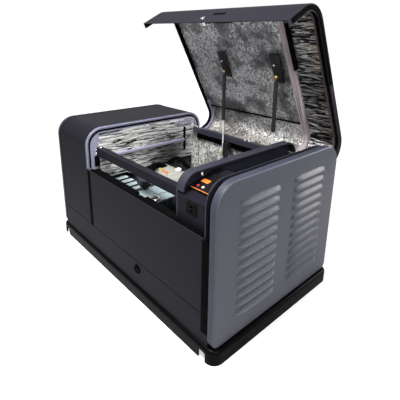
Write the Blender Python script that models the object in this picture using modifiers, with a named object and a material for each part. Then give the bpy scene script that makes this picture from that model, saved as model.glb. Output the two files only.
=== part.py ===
"""Home standby generator in a sheet-steel enclosure, with its lid propped open.

Metres, +Z up.  X runs along the set towards its louvred control end, -Y is the front,
and the origin is on the ground under the middle of the base tray.
"""
import math

import bmesh
import bpy
from mathutils import Matrix, Vector

# ---------------------------------------------------------------- driving dimensions
GAP = 0.0003                  # what touching pieces keep between their faces

TRAY_LENGTH = 1.200
TRAY_WIDTH = 0.720
TRAY_HEIGHT = 0.056
TRAY_WALL = 0.006
TRAY_CORNER = 0.040
TRAY_EDGE = 0.012
TRAY_RIB = 0.060
NOTCH_WIDTH = 0.034
NOTCH_HEIGHT = 0.036
NOTCH_FROM_END = 0.060

BODY_LENGTH = 1.170
BODY_DEPTH = 0.700
BODY_RISE = 0.5837
BODY_RADIUS = 0.085
FOOT_RADIUS = 0.028
SKIN = 0.003
END_FLANGE = 0.028
END_CLEARANCE = 0.0007        # end panel flange to the skins beside it

LOUVRE_ROWS = 12
LOUVRE_COLUMNS = 2
LOUVRE_LENGTH = 0.205
LOUVRE_PITCH = 0.0370
LOUVRE_BULGE = 0.010
LOUVRE_HALF_HEIGHT = 0.0095
LOUVRE_SPACING = 0.292
LOUVRE_RISE = 0.4997
LOUVRE_SLOT = 0.005

HOOD_EDGE_X = -0.2625
SILL_RISE = 0.1137
PANEL_RISE = 0.3937
PANEL_LEDGE = 0.015
PANEL_LEFT_GAP = 0.020
SILL_HOLE_X = 0.140
SILL_HOLE_RISE = 0.0817
SILL_HOLE_RADIUS = 0.011
REAR_PANEL_RISE = 0.4417

FRAME_INSET = 0.006
FRAME_LEG = 0.034
FRAME_STANDOFF = 0.029
SEAL_THICKNESS = 0.010
LINER = 0.0055
MOUTH_SETBACK = 0.060
MOUTH_RISE = 0.5417
MOUTH_RADIUS = 0.040
BULKHEAD_BOTTOM_RISE = 0.4387
BULKHEAD_THICKNESS = 0.006

PARTITION_X = 0.365
PARTITION_PLATE = 0.005
PARTITION_INSET = 0.025
PARTITION_RADIUS = 0.060
PARTITION_ROLL = 0.037
PARTITION_ROLL_WALL = 0.006

BOX_SETBACK = 0.025
BOX_DEPTH = 0.205
BOX_BOTTOM_RISE = 0.3737
BOX_FRONT_TOP_RISE = 0.4887
BOX_SLOPE_RUN = 0.175
BOX_SLOPE_END_RISE = 0.5287
CONTROLLER_WIDTH = 0.124
CONTROLLER_LENGTH = 0.110
CONTROLLER_THICKNESS = 0.010
CONTROLLER_MIDDLE_X = 0.450
BUTTON_RADIUS = 0.0050
BUTTON_HEIGHT = 0.0060
BUTTON_TRAVEL = 0.0020
BUTTON_CLEARANCE = 0.0006
START_BUTTON_X = 0.437
STOP_BUTTON_X = 0.413
BREAKER_WIDTH = 0.048
BREAKER_HEIGHT = 0.043
BREAKER_DEPTH = 0.058
BREAKER_X = 0.445
BREAKER_RISE = 0.4562
BREAKER_PROUD = 0.003
LEVER_WIDTH = 0.012
LEVER_THICKNESS = 0.005
LEVER_LENGTH = 0.014
LEVER_SLOT_HEIGHT = 0.022
LEVER_SLOT_DEPTH = 0.014

BAR_SETBACK = 0.050
BAR_DEPTH = 0.032
BAR_RISE = 0.4887
BAR_HEIGHT = 0.037
RAIL_SETBACK = 0.055
RAIL_DEPTH = 0.026
RAIL_RISE = 0.4987
RAIL_HEIGHT = 0.030

HINGE_STANDOFF = 0.0065
HINGE_RISE = 0.4487
LID_OPEN_DEG = 62.0
LID_LEFT_GAP = 0.0040
LID_RIGHT_GAP = 0.0075
LID_FLANGE = 0.025
LID_REAR_CLEARANCE = 0.007
LID_FRONT_CLEARANCE = 0.0015
HINGE_X = (-0.150, 0.250)
LEAF_WIDTH = 0.050
LEAF_THICKNESS = 0.0025
LEAF_HEIGHT = 0.040
KNUCKLE_RADIUS = 0.006
KNUCKLE_LENGTH = 0.025
PIN_RADIUS = 0.003
PIN_CLEARANCE = 0.0004
RIB_LEFT_X = 0.370
RIB_WIDTH = 0.030
RIB_DEPTH = 0.0125

STRUT_X = (0.000, 0.310)
STRUT_LID_Y = -0.020
STRUT_LID_RISE = 0.5487
STRUT_FOOT_SETBACK = 0.075
STRUT_FOOT_RISE = 0.4137
STRUT_TUBE_RADIUS = 0.009
STRUT_TUBE_LENGTH = 0.240
STRUT_BORE_START = 0.108
STRUT_ROD_RADIUS = 0.004
STRUT_ROD_LENGTH = 0.205
STRUT_BORE_CLEARANCE = 0.0005
EYE_RADIUS = 0.008
EYE_HALF = 0.004
BRACKET_OFFSET = 0.012
BRACKET_THICKNESS = 0.008
STUD_RADIUS = 0.004

LOCK_X = 0.130
LOCK_RISE = 0.4217
LOCK_RADIUS = 0.011
LOCK_CLEARANCE = 0.0005
LOCK_PROUD = 0.006
LOCK_DEPTH = 0.024
CAM_LENGTH = 0.034
CAM_WIDTH = 0.014
CAM_THICKNESS = 0.003

BED_Y = 0.150
BED_WIDTH = 0.040
BED_HEIGHT = 0.050
BED_LEFT_X = -0.500
BED_RIGHT_X = 0.300
BED_STEEL = 0.003
MOUNT_RADIUS = 0.020
MOUNT_HEIGHT = 0.030
MOUNT_ENGINE_X = -0.070
MOUNT_ALTERNATOR_X = -0.420
ENGINE_LEFT_X = -0.200
ENGINE_RIGHT_X = 0.060
ENGINE_HALF = 0.120
ENGINE_RISE = 0.2837
ENGINE_FOOT = 0.012
ENGINE_FOOT_FRONT = 0.200
ENGINE_FOOT_REAR = 0.175
CRANK_RISE = 0.2037
CYLINDER_LEFT_X = -0.165
CYLINDER_RIGHT_X = -0.025
CYLINDER_LENGTH = 0.120
CYLINDER_BOTTOM_RISE = 0.1837
CYLINDER_DROP = 0.0003
FIN_COUNT = 6
FIN_THICKNESS = 0.006
FIN_DEPTH = 0.020
ALTERNATOR_RADIUS = 0.115
ALTERNATOR_LENGTH = 0.290
BLOWER_RADIUS = 0.160
BLOWER_DEPTH = 0.100
BLOWER_WALL = 0.005
BLOWER_INLET = 0.105
FAN_RADIUS = 0.098
FAN_HUB = 0.030
FAN_BLADES = 9
FAN_DEPTH = 0.050
SHAFT_RADIUS = 0.012
SHAFT_CLEARANCE = 0.002
SHIELD_LEFT_X = -0.262
SHIELD_RIGHT_X = 0.005
SHIELD_FRONT_Y = -0.272
SHIELD_DEPTH = 0.125
SHIELD_HEIGHT = 0.024
SHIELD_SLATS = 6
FILTER_LEFT_X = 0.022
FILTER_RIGHT_X = 0.152
FILTER_FRONT_Y = -0.286
FILTER_DEPTH = 0.118
FILTER_BOTTOM_RISE = 0.3057
FILTER_RISE = 0.3617
HOSE_RADIUS = 0.016
MUFFLER_SETBACK = 0.115
MUFFLER_RISE = 0.1087
MUFFLER_RADIUS = 0.055
MUFFLER_LEFT_X = -0.200
MUFFLER_LENGTH = 0.320
TAIL_RADIUS = 0.016
TAIL_X = 0.220
TAIL_CLEARANCE = 0.005
STARTER_RADIUS = 0.030
STARTER_RISE = 0.1337
OIL_FILTER_RADIUS = 0.030
OIL_FILTER_X = -0.025
OIL_FILTER_RISE = 0.1337
BATTERY_SIZE = (0.120, 0.180, 0.175)
BATTERY_LEFT_X = 0.402
BATTERY_FRONT_Y = 0.050
REGULATOR_RADIUS = 0.048
REGULATOR_HEIGHT = 0.070

# ---------------------------------------------------------------- derived places
FRONT = -BODY_DEPTH / 2
REAR = BODY_DEPTH / 2
FLOOR = TRAY_HEIGHT + GAP
END_FACE = BODY_LENGTH / 2
BODY_TOP = FLOOR + BODY_RISE
SILL_TOP = FLOOR + SILL_RISE
SILL_HOLE_Z = FLOOR + SILL_HOLE_RISE
PANEL_TOP = FLOOR + PANEL_RISE
REAR_PANEL_TOP = FLOOR + REAR_PANEL_RISE
LOUVRE_TOP = FLOOR + LOUVRE_RISE
MOUTH_TOP = FLOOR + MOUTH_RISE
BULKHEAD_BOTTOM = FLOOR + BULKHEAD_BOTTOM_RISE
BOX_BOTTOM = FLOOR + BOX_BOTTOM_RISE
BOX_FRONT_TOP = FLOOR + BOX_FRONT_TOP_RISE
BOX_SLOPE_END_Z = FLOOR + BOX_SLOPE_END_RISE
BREAKER_Z = FLOOR + BREAKER_RISE
BAR_TOP = FLOOR + BAR_RISE
RAIL_TOP = FLOOR + RAIL_RISE
HINGE_Z = FLOOR + HINGE_RISE
STRUT_LID_Z = FLOOR + STRUT_LID_RISE
STRUT_FOOT_Z = FLOOR + STRUT_FOOT_RISE
LOCK_Z = FLOOR + LOCK_RISE
ENGINE_TOP = FLOOR + ENGINE_RISE
CRANK_Z = FLOOR + CRANK_RISE
CYLINDER_BOTTOM = FLOOR + CYLINDER_BOTTOM_RISE
FILTER_BOTTOM = FLOOR + FILTER_BOTTOM_RISE
FILTER_TOP = FLOOR + FILTER_RISE
MUFFLER_Z = FLOOR + MUFFLER_RISE
STARTER_Z = FLOOR + STARTER_RISE
OIL_FILTER_Z = FLOOR + OIL_FILTER_RISE
FLANGE_X = END_FACE - END_FLANGE
SKIN_END = FLANGE_X - GAP
FRAME_FACE_X = FLANGE_X - FRAME_STANDOFF
PANEL_LEFT_X = HOOD_EDGE_X + PANEL_LEFT_GAP
PANEL_RIGHT_X = FRAME_FACE_X - GAP
FRAME_OUT_X = HOOD_EDGE_X - 0.0005
FRAME_IN_X = FRAME_OUT_X - SKIN
MOUTH_HALF = REAR - MOUTH_SETBACK
LID_LEFT_X = HOOD_EDGE_X + LID_LEFT_GAP
LID_RIGHT_X = FLANGE_X - LID_RIGHT_GAP
HINGE_Y = REAR + HINGE_STANDOFF
RAIL_FRONT_Y = REAR - RAIL_SETBACK
STRUT_FOOT_Y = REAR - STRUT_FOOT_SETBACK
BAR_FRONT_Y = FRONT + BAR_SETBACK
BOX_FRONT_Y = FRONT + BOX_SETBACK
BOX_BACK_Y = BOX_FRONT_Y + BOX_DEPTH
BOX_SLOPE_END_Y = BOX_FRONT_Y + BOX_SLOPE_RUN
MUFFLER_Y = REAR - MUFFLER_SETBACK
BED_TOP = FLOOR + BED_HEIGHT
FEET_Z = BED_TOP + GAP + MOUNT_HEIGHT + GAP
CYLINDER_TOP = ENGINE_TOP - CYLINDER_DROP
SLOPE = math.atan2(BOX_SLOPE_END_Z - BOX_FRONT_TOP, BOX_SLOPE_END_Y - BOX_FRONT_Y)
LID_OPEN = math.radians(LID_OPEN_DEG)

OBJECT_NAME = "standby_generator"


# ---------------------------------------------------------------- scene and finishes
def clear_scene():
    for item in list(bpy.data.objects):
        bpy.data.objects.remove(item, do_unlink=True)


def collection(name):
    group = bpy.data.collections.new(name)
    bpy.context.scene.collection.children.link(group)
    return group


def finish(name, colour, roughness, metallic):
    material = bpy.data.materials.new(name)
    material.use_nodes = True
    shader = material.node_tree.nodes["Principled BSDF"]
    shader.inputs["Base Color"].default_value = (*colour, 1.0)
    shader.inputs["Roughness"].default_value = roughness
    shader.inputs["Metallic"].default_value = metallic
    return material


clear_scene()
PARTS = collection(OBJECT_NAME)
TOOLS = collection("cutters")

CHARCOAL = ("charcoal_paint", (0.035, 0.034, 0.042), 0.45, 0.0)
GREY = ("grey_paint", (0.13, 0.13, 0.17), 0.42, 0.0)
LAVENDER = ("inner_paint", (0.25, 0.25, 0.36), 0.40, 0.0)
BLACK = ("black_gloss", (0.008, 0.008, 0.010), 0.25, 0.0)
RUBBER = ("black_rubber", (0.012, 0.012, 0.012), 0.80, 0.0)
FOIL = ("foil", (0.75, 0.75, 0.74), 0.22, 1.0)
STEEL = ("chromed_steel", (0.65, 0.65, 0.66), 0.15, 1.0)
ALLOY = ("cast_alloy", (0.42, 0.44, 0.45), 0.45, 1.0)
CREAM = ("cream_paint", (0.70, 0.66, 0.56), 0.50, 0.0)
TEAL = ("zinc_plate", (0.34, 0.42, 0.44), 0.35, 1.0)
RED = ("red_plastic", (0.60, 0.03, 0.04), 0.35, 0.0)
WHITE = ("white_plastic", (0.80, 0.80, 0.80), 0.35, 0.0)
PLASTIC = ("black_plastic", (0.010, 0.010, 0.011), 0.40, 0.0)


def dress(item, look):
    material = bpy.data.materials.get(look[0]) or finish(*look)
    item.data.materials.clear()
    item.data.materials.append(material)


# ---------------------------------------------------------------- modelling helpers
def add_object(name, mesh, look=None):
    item = bpy.data.objects.new(name, mesh)
    PARTS.objects.link(item)
    if look:
        dress(item, look)
    return item


def from_bmesh(name, shape, look=None):
    bmesh.ops.recalc_face_normals(shape, faces=shape.faces)
    mesh = bpy.data.meshes.new(name)
    shape.to_mesh(mesh)
    shape.free()
    return add_object(name, mesh, look)


def smooth(item, degrees=35.0):
    item.data.shade_smooth()
    item.data.set_sharp_from_angle(angle=math.radians(degrees))
    return item


def box(name, low, high, look=None, bevel=0.0):
    low, high = Vector(low), Vector(high)
    shape = bmesh.new()
    bmesh.ops.create_cube(shape, size=1.0)
    for vertex in shape.verts:
        vertex.co = Vector((low[i] + (vertex.co[i] + 0.5) * (high[i] - low[i]) for i in range(3)))
    if bevel:
        bmesh.ops.bevel(shape, geom=shape.edges[:], offset=bevel, segments=2,
                        affect="EDGES", profile=0.5)
    return from_bmesh(name, shape, look)


def along(start, end):
    """Matrix that stands local Z on the line from start to end."""
    direction = Vector(end) - Vector(start)
    turn = direction.to_track_quat("Z", "Y").to_matrix().to_4x4()
    return Matrix.Translation(Vector(start)) @ turn, direction.length


def rod(name, start, end, radius, look=None, sides=24):
    place, length = along(start, end)
    shape = bmesh.new()
    bmesh.ops.create_cone(shape, cap_ends=True, segments=sides, radius1=radius, radius2=radius,
                          depth=length, matrix=place @ Matrix.Translation((0, 0, length / 2)))
    return smooth(from_bmesh(name, shape, look))


def turned(name, profile, start, end, look=None, sides=32):
    """Profile of (radius, height) pairs, top first, turned about the line start to end.

    A profile that comes back to its first point makes a ring.
    """
    place, _ = along(start, end)
    mesh = bpy.data.meshes.new(name)
    ring = profile[0] == profile[-1]
    points = [(radius, 0.0, height) for radius, height in profile]
    edges = [(i, i + 1) for i in range(len(points) - 1)]
    if ring:
        points.pop()
        edges[-1] = (len(points) - 1, 0)
    mesh.from_pydata(points, edges, [])
    item = add_object(name, mesh, look)
    screw = item.modifiers.new("turn", "SCREW")
    screw.axis = "Z"
    screw.steps = sides
    screw.render_steps = sides
    screw.use_merge_vertices = True
    screw.merge_threshold = 0.00005
    settle(item)
    item.data.transform(place)
    return smooth(item)


def settle(item):
    """Apply the modifiers of an item."""
    bpy.context.view_layer.update()
    source = item.evaluated_get(bpy.context.evaluated_depsgraph_get())
    mesh = bpy.data.meshes.new_from_object(source)
    old = item.data
    item.modifiers.clear()
    item.data = mesh
    bpy.data.meshes.remove(old)


AXES = {
    "X": Matrix(((0, 0, 1, 0), (1, 0, 0, 0), (0, 1, 0, 0), (0, 0, 0, 1))),
    "Y": Matrix(((0, 1, 0, 0), (0, 0, 1, 0), (1, 0, 0, 0), (0, 0, 0, 1))),
    "Z": Matrix.Identity(4),
}


def extrude(name, outlines, axis, low, high, look=None):
    """Flat outlines, the first outside and the rest holes, given thickness along an axis.

    Outline points are (y, z) for X, (z, x) for Y and (x, y) for Z.
    """
    curve = bpy.data.curves.new(name, "CURVE")
    curve.dimensions = "2D"
    curve.fill_mode = "BOTH"
    curve.extrude = (high - low) / 2
    for outline in outlines:
        spline = curve.splines.new("POLY")
        spline.points.add(len(outline) - 1)
        for point, (u, v) in zip(spline.points, outline):
            point.co = (u, v, 0.0, 1.0)
        spline.use_cyclic_u = True
    carrier = bpy.data.objects.new(name + "_outline", curve)
    PARTS.objects.link(carrier)
    bpy.context.view_layer.update()
    source = carrier.evaluated_get(bpy.context.evaluated_depsgraph_get())
    mesh = bpy.data.meshes.new_from_object(source)
    bpy.data.objects.remove(carrier, do_unlink=True)
    shape = bmesh.new()
    shape.from_mesh(mesh)
    bpy.data.meshes.remove(mesh)
    bmesh.ops.remove_doubles(shape, verts=shape.verts, dist=0.00002)
    bmesh.ops.translate(shape, verts=shape.verts, vec=(0, 0, (low + high) / 2))
    bmesh.ops.transform(shape, verts=shape.verts, matrix=AXES[axis])
    return smooth(from_bmesh(name, shape, look))


def tube(name, points, radius, look=None, resolution=2):
    """Round tube with closed ends along a smooth line of points."""
    curve = bpy.data.curves.new(name, "CURVE")
    curve.dimensions = "3D"
    curve.bevel_depth = radius
    curve.bevel_resolution = resolution
    curve.use_fill_caps = True
    spline = curve.splines.new("POLY")
    spline.points.add(len(points) - 1)
    for point, place in zip(spline.points, points):
        point.co = (*place, 1.0)
    carrier = bpy.data.objects.new(name + "_line", curve)
    PARTS.objects.link(carrier)
    bpy.context.view_layer.update()
    source = carrier.evaluated_get(bpy.context.evaluated_depsgraph_get())
    mesh = bpy.data.meshes.new_from_object(source)
    bpy.data.objects.remove(carrier, do_unlink=True)
    shape = bmesh.new()
    shape.from_mesh(mesh)
    bpy.data.meshes.remove(mesh)
    bmesh.ops.remove_doubles(shape, verts=shape.verts, dist=0.00002)
    return smooth(from_bmesh(name, shape, look))


def combine(item, tools, operation):
    for tool in tools:
        PARTS.objects.unlink(tool)
        TOOLS.objects.link(tool)
        tool.hide_render = True
        tool.display_type = "WIRE"
        modifier = item.modifiers.new(operation.lower(), "BOOLEAN")
        modifier.operation = operation
        modifier.solver = "EXACT"
        modifier.object = tool
        settle(item)
        bpy.data.objects.remove(tool, do_unlink=True)
    return smooth(item)


def cut(item, *tools):
    return combine(item, tools, "DIFFERENCE")


def fuse(item, *tools):
    return combine(item, tools, "UNION")


def arc(centre_u, centre_v, radius, start, end, steps=8):
    """Points of an arc from start to end degrees, both included."""
    turns = [math.radians(start + (end - start) * i / steps) for i in range(steps + 1)]
    return [(centre_u + radius * math.cos(t), centre_v + radius * math.sin(t)) for t in turns]


def roof(inset, front_foot, rear_foot, radius=BODY_RADIUS, steps=8):
    """Enclosure section (y, z) from the front foot over the top to the rear foot."""
    bend = radius - inset
    front, rear, top = FRONT + inset, REAR - inset, BODY_TOP - inset
    line = [(front, front_foot)]
    line += arc(front + bend, top - bend, bend, 180, 90, steps)
    line += arc(rear - bend, top - bend, bend, 90, 0, steps)
    return line + [(rear, rear_foot)]


def band(outer_inset, inner_inset, front_foot, rear_foot):
    """Closed outline between two insets of the enclosure section."""
    outer = roof(outer_inset, front_foot, rear_foot)
    inner = roof(inner_inset, front_foot, rear_foot)
    return outer + inner[::-1]


def rounded(u_low, u_high, v_low, v_high, radius, steps=5):
    line = arc(u_high - radius, v_high - radius, radius, 0, 90, steps)
    line += arc(u_low + radius, v_high - radius, radius, 90, 180, steps)
    line += arc(u_low + radius, v_low + radius, radius, 180, 270, steps)
    return line + arc(u_high - radius, v_low + radius, radius, 270, 360, steps)


def end_outline(inset=0.0):
    """Closed section of an end panel: big top corners, small bottom corners."""
    top_bend, foot_bend = BODY_RADIUS - inset, FOOT_RADIUS - inset
    front, rear = FRONT + inset, REAR - inset
    top, foot = BODY_TOP - inset, FLOOR + inset
    line = arc(rear - top_bend, top - top_bend, top_bend, 0, 90)
    line += arc(front + top_bend, top - top_bend, top_bend, 90, 180)
    line += arc(front + foot_bend, foot + foot_bend, foot_bend, 180, 270, 4)
    return line + arc(rear - foot_bend, foot + foot_bend, foot_bend, 270, 360, 4)


def smooth_line(points, per_span=5):
    """Catmull-Rom line through the points."""
    rows = [Vector(p) for p in points]
    rows = [rows[0] * 2 - rows[1]] + rows + [rows[-1] * 2 - rows[-2]]
    line = []
    for i in range(1, len(rows) - 2):
        a, b, c, d = rows[i - 1:i + 3]
        for step in range(per_span):
            t = step / per_span
            line.append(0.5 * ((2 * b) + (c - a) * t + (2 * a - 5 * b + 4 * c - d) * t ** 2
                               + (3 * b - a - 3 * c + d) * t ** 3))
    return line + [rows[-2]]


def pivot(name, place, turn=0.0):
    """Empty on a joint's axis, turned about X."""
    empty = bpy.data.objects.new(name, None)
    PARTS.objects.link(empty)
    empty.location = place
    empty.rotation_euler = (turn, 0.0, 0.0)
    return empty


def hang(item, empty, origin):
    """Parent an item, drawn in place about the origin, to an empty that stands there."""
    item.data.transform(Matrix.Translation(-Vector(origin)))
    item.parent = empty
    return item


def rebase(item, origin):
    """Put an item's own origin on a point without moving its shape."""
    item.data.transform(Matrix.Translation(-Vector(origin)))
    item.location = origin
    return item


# ---------------------------------------------------------------- base and engine bed
def base_tray():
    half_x, half_y = TRAY_LENGTH / 2, TRAY_WIDTH / 2
    tray = extrude("base_tray", [rounded(-half_x, half_x, -half_y, half_y, TRAY_CORNER)],
                   "Z", 0.0, TRAY_HEIGHT, BLACK)
    shape = bmesh.new()
    shape.from_mesh(tray.data)
    bmesh.ops.dissolve_limit(shape, angle_limit=0.01, verts=shape.verts, edges=shape.edges)
    rim = [edge for edge in shape.edges
           if all(abs(vertex.co.z - TRAY_HEIGHT) < 1e-5 for vertex in edge.verts)
           and any(abs(face.normal.z) < 0.5 for face in edge.link_faces)]
    bmesh.ops.bevel(shape, geom=rim, offset=TRAY_EDGE, segments=3, affect="EDGES", profile=0.5)
    shape.to_mesh(tray.data)
    shape.free()
    for side in (-1, 1):
        near, far = sorted((side * TRAY_RIB / 2, side * (half_y - TRAY_WALL)))
        pocket = rounded(-half_x + TRAY_WALL, half_x - TRAY_WALL, near, far,
                         TRAY_CORNER - TRAY_WALL)
        cut(tray, extrude("pocket", [pocket], "Z", -0.01, TRAY_HEIGHT - TRAY_WALL))
        for end in (-1, 1):
            middle = end * (half_x - NOTCH_FROM_END)
            arch = [(0.0 - 0.01, middle - NOTCH_WIDTH / 2), (-0.01, middle + NOTCH_WIDTH / 2)]
            arch += [(NOTCH_HEIGHT - NOTCH_WIDTH / 4, middle + NOTCH_WIDTH / 2),
                     (NOTCH_HEIGHT, middle + NOTCH_WIDTH / 4),
                     (NOTCH_HEIGHT, middle - NOTCH_WIDTH / 4),
                     (NOTCH_HEIGHT - NOTCH_WIDTH / 4, middle - NOTCH_WIDTH / 2)]
            low, high = sorted((side * (half_y - 2 * TRAY_WALL), side * (half_y + 0.01)))
            cut(tray, extrude("notch", [arch], "Y", low, high))
    return tray


def bed_rails():
    for name, middle in (("front_rail", -BED_Y), ("rear_rail", BED_Y)):
        low, high = middle - BED_WIDTH / 2, middle + BED_WIDTH / 2
        channel = [(low, FLOOR), (low, BED_TOP), (high, BED_TOP), (high, FLOOR),
                   (high - BED_STEEL, FLOOR), (high - BED_STEEL, BED_TOP - BED_STEEL),
                   (low + BED_STEEL, BED_TOP - BED_STEEL), (low + BED_STEEL, FLOOR)]
        extrude(name, [channel], "X", BED_LEFT_X, BED_RIGHT_X, PLASTIC)


def engine_mounts():
    waist = MOUNT_RADIUS * 0.7
    profile = [(0.0, MOUNT_HEIGHT), (MOUNT_RADIUS, MOUNT_HEIGHT),
               (MOUNT_RADIUS, MOUNT_HEIGHT * 0.8), (waist, MOUNT_HEIGHT * 0.6),
               (waist, MOUNT_HEIGHT * 0.4), (MOUNT_RADIUS, MOUNT_HEIGHT * 0.2),
               (MOUNT_RADIUS, 0.0), (0.0, 0.0)]
    places = [(x, side * BED_Y) for x in (MOUNT_ENGINE_X, MOUNT_ALTERNATOR_X) for side in (-1, 1)]
    for number, (x, y) in enumerate(places, 1):
        foot = (x, y, BED_TOP + GAP)
        turned(f"engine_mount_{number}", profile, foot, (x, y, FEET_Z), RUBBER, 20)


# ---------------------------------------------------------------- enclosure
def end_panel(name, side):
    """Pressed pan with two columns of louvres; side +1 is the right end."""
    outer, inner = sorted((side * FLANGE_X, side * END_FACE))
    panel = extrude(name, [end_outline()], "X", outer, inner, GREY)
    low, high = sorted((side * (FLANGE_X - 0.01), side * (END_FACE - SKIN)))
    cut(panel, extrude("pan", [end_outline(SKIN)], "X", low, high))
    bulges = bmesh.new()
    slots = bmesh.new()
    for column in range(LOUVRE_COLUMNS):
        y = (column - (LOUVRE_COLUMNS - 1) / 2) * LOUVRE_SPACING
        for row in range(LOUVRE_ROWS):
            z = LOUVRE_TOP - row * LOUVRE_PITCH
            face = side * (END_FACE - SKIN / 2)
            place = Matrix.Translation((face, y, z)) @ Matrix.Diagonal(
                (LOUVRE_BULGE + SKIN / 2, LOUVRE_LENGTH / 2, LOUVRE_HALF_HEIGHT, 1.0))
            half = bmesh.ops.create_uvsphere(bulges, u_segments=10, v_segments=4, radius=1.0,
                                             matrix=place)
            for vertex in half["verts"]:
                if side * (vertex.co.x - face) < 0:
                    vertex.co.x = face
            slot = Matrix.Translation((face, y, z - LOUVRE_HALF_HEIGHT - LOUVRE_SLOT / 2)) \
                @ Matrix.Diagonal((4 * SKIN, LOUVRE_LENGTH * 0.8, LOUVRE_SLOT, 1.0))
            bmesh.ops.create_cube(slots, size=1.0, matrix=slot)
    bmesh.ops.dissolve_degenerate(bulges, edges=bulges.edges, dist=0.00002)
    bmesh.ops.remove_doubles(bulges, verts=bulges.verts, dist=0.00002)
    fuse(panel, from_bmesh("bulges", bulges))
    cut(panel, from_bmesh("slots", slots))
    return panel


def hood():
    """Fixed left cover, its front edge frame, its foil and its bulkhead."""
    shell = band(0.0, SKIN, SILL_TOP + GAP, FLOOR)
    extrude("hood_shell", [shell], "X", -SKIN_END, HOOD_EDGE_X, CHARCOAL)

    inset = SKIN + GAP
    outer = roof(inset, FLOOR, FLOOR)
    mouth = [(-MOUTH_HALF, FLOOR)]
    mouth += arc(-MOUTH_HALF + MOUTH_RADIUS, MOUTH_TOP - MOUTH_RADIUS, MOUTH_RADIUS, 180, 90, 6)
    mouth += arc(MOUTH_HALF - MOUTH_RADIUS, MOUTH_TOP - MOUTH_RADIUS, MOUTH_RADIUS, 90, 0, 6)
    mouth += [(MOUTH_HALF, FLOOR)]
    extrude("hood_edge_frame", [outer + mouth[::-1]], "X", FRAME_IN_X, FRAME_OUT_X, LAVENDER)

    liner = band(inset, inset + LINER, SILL_TOP + 0.01, SILL_TOP + 0.01)
    wall_x = -END_FACE + SKIN + GAP
    right = FRAME_IN_X - GAP
    lining = extrude("hood_liner", [liner], "X", wall_x, right, FOIL)
    inside = inset + LINER / 2
    fuse(lining,
         extrude("left_wall", [roof(inside, SILL_TOP + 0.012, SILL_TOP + 0.012)], "X",
                 wall_x + 0.0002, wall_x + LINER),
         extrude("bulkhead", [roof(inside, BULKHEAD_BOTTOM, BULKHEAD_BOTTOM)], "X",
                 right - BULKHEAD_THICKNESS, right - 0.0002))


def front_covers():
    """Sill, front panel and the rubber strips beside them."""
    sill = box("front_sill", (-SKIN_END, FRONT, FLOOR), (SKIN_END, FRONT + SKIN, SILL_TOP),
               CHARCOAL)
    cut(sill, rod("sill_hole", (SILL_HOLE_X, FRONT - 0.01, SILL_HOLE_Z),
                  (SILL_HOLE_X, FRONT + 0.01, SILL_HOLE_Z), SILL_HOLE_RADIUS, sides=20))

    foot, top = SILL_TOP + GAP, PANEL_TOP
    section = [(FRONT, foot), (FRONT, top), (FRONT + PANEL_LEDGE, top),
               (FRONT + PANEL_LEDGE, top - SKIN), (FRONT + SKIN, top - SKIN),
               (FRONT + SKIN, foot + SKIN), (FRONT + PANEL_LEDGE, foot + SKIN),
               (FRONT + PANEL_LEDGE, foot)]
    extrude("front_panel", [section], "X", PANEL_LEFT_X, PANEL_RIGHT_X, CHARCOAL)

    seal_y = FRONT + PANEL_LEDGE
    box("front_panel_seal", (PANEL_LEFT_X + 0.002, seal_y - 0.009, PANEL_TOP + GAP),
        (PANEL_RIGHT_X, seal_y, PANEL_TOP + 0.006), RUBBER)
    box("side_seal", (FRAME_OUT_X + GAP, FRONT + SKIN + GAP, FLOOR),
        (PANEL_LEFT_X - GAP, FRONT + SKIN + GAP + SEAL_THICKNESS, PANEL_TOP - SKIN), RUBBER)


def rear_cover():
    panel = box("rear_panel", (HOOD_EDGE_X + GAP, REAR - SKIN, FLOOR),
                (SKIN_END, REAR, REAR_PANEL_TOP), CHARCOAL)
    cut(panel, rod("tail_hole", (TAIL_X, REAR - 0.02, MUFFLER_Z), (TAIL_X, REAR + 0.02, MUFFLER_Z),
                   TAIL_RADIUS + TAIL_CLEARANCE, sides=24))
    low = REAR - SKIN - GAP - LINER
    liner = box("rear_liner", (FRAME_OUT_X + 0.005, low, FLOOR + 0.010),
                (PARTITION_X - 0.005, low + LINER, REAR_PANEL_TOP - 0.005), FOIL)
    cut(liner, rod("tail_hole", (TAIL_X, REAR - 0.02, MUFFLER_Z), (TAIL_X, REAR + 0.02, MUFFLER_Z),
                   TAIL_RADIUS + TAIL_CLEARANCE, sides=24))


def control_end_frame():
    """Angle frame inside the right end panel, and the seal that the lid closes on."""
    face = band(FRAME_INSET, FRAME_INSET + FRAME_LEG, FLOOR, FLOOR)
    frame = extrude("end_frame", [face], "X", FRAME_FACE_X, FRAME_FACE_X + SKIN, LAVENDER)
    above_pan = FLOOR + SKIN + GAP
    foot = band(FRAME_INSET + FRAME_LEG - SKIN, FRAME_INSET + FRAME_LEG - 0.0001,
                above_pan, above_pan)
    fuse(frame, extrude("foot", [foot], "X", FRAME_FACE_X + SKIN / 2, END_FACE - SKIN - GAP))
    base = FRAME_INSET + FRAME_LEG - SKIN - GAP
    seal = band(base - SEAL_THICKNESS, base, FLOOR, FLOOR)
    extrude("end_seal", [seal], "X", FRAME_FACE_X + SKIN + GAP, FLANGE_X - GAP, RUBBER)


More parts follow.
